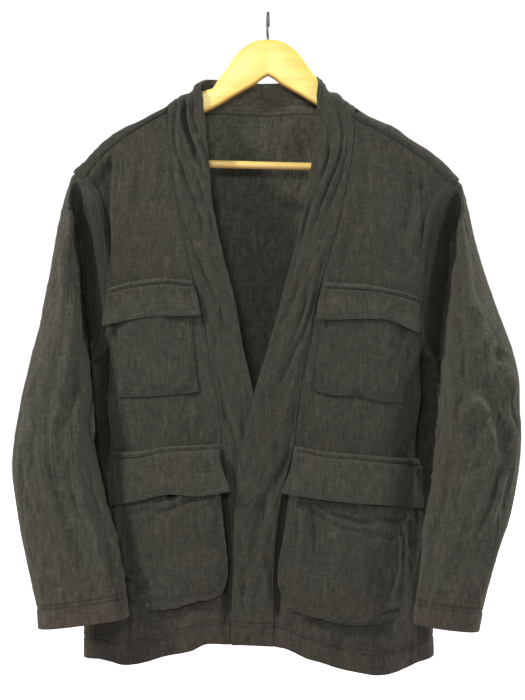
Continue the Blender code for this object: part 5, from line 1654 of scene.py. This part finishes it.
def wood_material():
    """Lacquered beech: fine grain along the arm, short dark flecks, painted shade on its
    underside, and redder on the trouser bar.
    """
    material, n, surface = new_material("lacquered beech")
    place = n.place()
    ring = n.noise(place, 1.0, 2.0, 0.5, (5, 60, 55))
    grain = n.noise(place, 1.0, 5.0, 0.6, (24, 220, 260))
    fleck = n.noise(place, 1.0, 2.0, 0.5, (220, 900, 1100))
    facing = n.height_of(n.add("NewGeometry", {}).outputs["Normal"])
    tone = n.mix(n.span(ring, 0.35, 0.65, 0, 1), BEECH_DEEP, BEECH_PALE)
    tone = n.mix(n.span(grain, 0.4, 0.75, 0, 0.3), tone, BEECH_GRAIN)
    tone = n.mix(n.span(fleck, 0.64, 0.76, 0, 0.35), tone, BEECH_FLECK)
    # Painted shade: darker and redder on faces that look down.
    tone = n.mix(n.span(facing, -0.75, -0.15, 0.75, 0), tone, BEECH_PAINTED_SHADE)
    tone = n.mix(n.span(n.height_of(place), -0.2, -0.18, 0.5, 0), tone, BEECH_BAR)
    surface({"Base Color": tone, "Roughness": n.span(grain, 0.2, 0.8, 0.28, 0.46),
             "Normal": n.bumps((grain, 0.0003, 0.35)), "Coat Weight": 0.25,
             "Coat Roughness": 0.3})
    return material


def steel_material():
    """Drawn steel wire, dull and a little scuffed."""
    material, n, surface = new_material("drawn steel wire")
    scuff = n.noise(n.place(), 900.0, 3.0, 0.6)
    surface({"Base Color": STEEL, "Metallic": 0.85, "Roughness": n.span(scuff, 0.3, 0.7, 0.5, 0.7),
             "Normal": n.bumps((scuff, 0.00008, 0.3))})
    return material


def floor_material():
    """Pale floor, as bright as the studio's light when it is looked at."""
    material, n, surface = new_material("pale floor")
    seen = n.add("LightPath", {}).outputs["Is Camera Ray"]
    surface({"Base Color": (0.8, 0.8, 0.8, 1), "Roughness": 0.9, "Emission Color": (1, 1, 1, 1),
             "Emission Strength": n.maths("MULTIPLY", seen, 1.3)})
    return material


# ------------------------------------------------------------- the hanger
def rounded_bar(name, node, centres, across, up, half_wide, half_high, rounding, material):
    """Bar along centres whose section is a rounded rectangle, closed at both ends.

    across and up are unit vectors of each section, half_wide and half_high its sizes.
    """
    corner = np.radians(np.linspace(0, 90, 6))
    arc = np.stack([np.cos(corner), np.sin(corner)], -1)
    quarters = np.array([[1, 1], [-1, 1], [-1, -1], [1, -1]])
    ring = np.concatenate([arc[::s * t] * (s, t) for s, t in quarters])
    signs = np.repeat(quarters, len(corner), axis=0)
    count, size = len(centres), len(ring)
    half = np.stack([half_wide, half_high], -1)[:, None]
    rounded = np.minimum(rounding, half.min(-1, keepdims=True) * 0.98)
    section = signs * (half - rounded) + ring * rounded
    points = (centres[:, None] + section[..., :1] * across[:, None]
              + section[..., 1:] * up[:, None])
    index = np.arange(count * size).reshape(count, size)
    faces = np.stack([index[:-1], np.roll(index[:-1], -1, 1), np.roll(index[1:], -1, 1),
                      index[1:]], -1).reshape(-1, 4).tolist()
    faces += [index[0, ::-1].tolist(), index[-1].tolist()]
    mesh = bpy.data.meshes.new(name)
    mesh.from_pydata(points.reshape(-1, 3).tolist(), [], faces)
    mesh.polygons.foreach_set("use_smooth", np.ones(len(faces), bool))
    mesh.update()
    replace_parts(put(name, mesh, material), node)


def flat_bar(name, node, x, low, high, half_thick, rounding, material):
    """Upright wooden bar over x, between its lower and its upper edge."""
    step = np.ones(len(x))[:, None]
    rounded_bar(name, node, np.stack([x, 0 * x, (low + high) / 2], -1), step * [0, 1.0, 0],
                step * [0, 0, 1.0], half_thick, (high - low) / 2, rounding, material)


def arm_and_bar(wood):
    """The hanger's arm, from its lower edge to its arch and the shoulder line, and its
    round trouser bar, which leans a little.
    """
    x = np.sin(np.linspace(-1, 1, 401) * math.pi / 2) * WOOD_END
    out = np.abs(x)
    blend = ramp(out, 64, 10)
    high = (follow(WOOD_TOP["out"], WOOD_TOP["z"], out) * (1 - blend)
            + (shoulder_z(x) - WOOD_CLEAR) * blend)
    low = follow(WOOD_LOW["out"], WOOD_LOW["z"], out)
    low = low - ramp(out, 150, 40) * np.where(x > 0, 8, 0) * MM
    ends = ramp(out, 190, 6) * 3 * MM
    flat_bar("wooden_arm", "hanger_wood", x, low + ends, high - ends,
             np.full(len(x), WOOD_THICK / 2), WOOD_ROUND, wood)
    x = np.linspace(-BAR_HALF, BAR_HALF, 60)
    z = BAR_Z - BAR_DROP / BAR_HALF * x
    radius = BAR_RADIUS + 0.12 * MM * unevenness(x, 0 * x, 40 * MM, 1, 7)
    flat_bar("trouser_bar", "hanger_bar", x, z - radius, z + radius, radius,
             BAR_RADIUS * 0.97, wood)


def hook(steel):
    """Wire hook: a shank out of the arm, then most of a circle, in one plane."""
    turn = np.radians(np.linspace(-62, 205, 90))
    middle = HOOK_WIRE / 2 - HOOK_BEND
    bend = np.stack([HOOK_BEND * np.cos(turn), middle + HOOK_BEND * np.sin(turn)], -1)
    foot = WOOD_TOP["z"][0]
    shank = np.array([[0, foot - HOOK_SHANK], [0, foot - 4 * MM], [0, foot + 1 * MM],
                      [1.4 * MM, foot + 3.4 * MM], [3.8 * MM, foot + 5.0 * MM]])
    path = np.concatenate([shank, bend])
    gone = reach(path[:, None], 0)[:, 0]
    fine = np.linspace(0, gone[-1], 220)
    out, z = (follow(gone, path[:, k], fine) for k in range(2))
    points = np.stack([-out * math.sin(HOOK_TURN), out * math.cos(HOOK_TURN), z], -1)
    run = unit(np.gradient(points, axis=0))
    side = np.broadcast_to([math.cos(HOOK_TURN), math.sin(HOOK_TURN), 0], run.shape)
    end = np.clip(np.minimum(fine, fine[-1] - fine) / (1.2 * MM), 0, 1)
    radius = HOOK_WIRE / 2 * np.sqrt(np.clip(1 - (1 - end) ** 2, 0.04, 1))
    rounded_bar("wire_hook", "hanger_hook", points, side, np.cross(run, side), radius, radius,
                HOOK_WIRE / 2 * 0.98, steel)


# ---------------------------------------------------------- making it all
WOOL = wool_material()
THREAD = thread_material()


def finish_cloth(node, made, ring=False):
    """Add stitches along a sewn piece's lines, and hide the frame's part that it stands for."""
    piece, outer, lines = made
    with_it = [stitches(node + "_stitches", lines)] if lines else []
    if ring:
        outer = closed(outer)
    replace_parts(piece, node)


for side in (RIGHT, LEFT):
    word = WORD[side]
    finish_cloth("front_" + word, front(side))
    finish_cloth("band_" + word, band(side))
    finish_cloth("sleeve_" + word, sleeve(side), True)
    finish_cloth("chest_pocket_" + word, chest_pocket(side))
    finish_cloth("chest_flap_" + word,
                 flap(side, "chest_flap_" + word, CHEST_FLAP[side],
                      high=lambda u: CHEST_BULGE + CLOTH + 0.4 * MM, belly=lambda u: 0.8 * MM,
                      curl=FLAP_CURL[side], seed=151))
    pocket = hip_pocket(side)
    gusset = hip_gusset(side, pocket[1])
    finish_cloth("hip_pocket_" + word, pocket)
    finish_cloth("hip_pocket_" + word, gusset)
    finish_cloth("hip_flap_" + word,
                 flap(side, "hip_flap_" + word, HIP_FLAP[side],
                      high=lambda u: hip_full(u) * 0.55 + CLOTH + 0.6 * MM,
                      belly=lambda u: hip_full(u) * 0.4, curl=2.5 * MM, seed=161))
finish_cloth("back", back())
arm_and_bar(wood_material())
hook(steel_material())

# ----------------------------------------------------- floor, light, camera
floor_mesh = bpy.data.meshes.new("floor")
floor_mesh.from_pydata([(x * FLOOR_HALF, y * FLOOR_HALF, FLOOR_Z)
                        for x, y in ((-1, -1), (1, -1), (1, 1), (-1, 1))], [], [(0, 1, 2, 3)])
floor = bpy.data.objects.new("floor", floor_mesh)
bpy.context.scene.collection.objects.link(floor)
floor_mesh.materials.append(floor_material())

world = bpy.data.worlds.new("studio")
bpy.context.scene.world = world
world.use_nodes = True
sky = Nodes(world.node_tree)
seen = sky.add("LightPath", {}).outputs["Is Camera Ray"]
sky.fill(world.node_tree.nodes["Background"],
         {"Strength": sky.span(seen, 0, 1, 0.14, 1.05),
          "Color": sky.mix(seen, (0.86, 0.93, 1.0, 1), (1, 1, 1, 1))})


def soft_light(name, place, size, power, color):
    """Round lamp, aimed at the jacket's middle."""
    lamp = bpy.data.lights.new(name, "AREA")
    lamp.shape = "DISK"
    lamp.size = size
    lamp.energy = power
    lamp.color = color
    light = bpy.data.objects.new(name, lamp)
    light.location = place
    way_to = Vector(LIGHT_AIM) - Vector(place)
    light.rotation_euler = way_to.to_track_quat("-Z", "Y").to_euler()
    bpy.context.scene.collection.objects.link(light)


soft_light("key", (-2.3, -1.5, 1.7), 0.45, 92, (1, 0.96, 0.88))
soft_light("second", (2.6, -1.3, 0.9), 0.7, 36, (1, 0.97, 0.9))
soft_light("front", (-0.35, -3.2, 0.5), 0.5, 34, (1, 0.97, 0.9))
soft_light("rear_key", (2.6, 1.0, 1.5), 0.45, 96, (1, 0.97, 0.92))
soft_light("rear_second", (-2.6, 1.3, 0.9), 0.7, 16, (1, 0.98, 0.95))
soft_light("rear_front", (0.3, 3.2, 0.5), 0.5, 26, (1, 0.98, 0.95))

lens = bpy.data.cameras.new("camera")
lens.sensor_width = 36
lens.lens = lens.sensor_width * CAMERA_AWAY / VIEW_HIGH
camera = bpy.data.objects.new("camera", lens)
camera.location = (VIEW_X, -CAMERA_AWAY, VIEW_Z)
camera.rotation_euler = (math.pi / 2, 0, 0)
bpy.context.scene.collection.objects.link(camera)
bpy.context.scene.camera = camera
bpy.context.scene.view_settings.view_transform = "Standard"
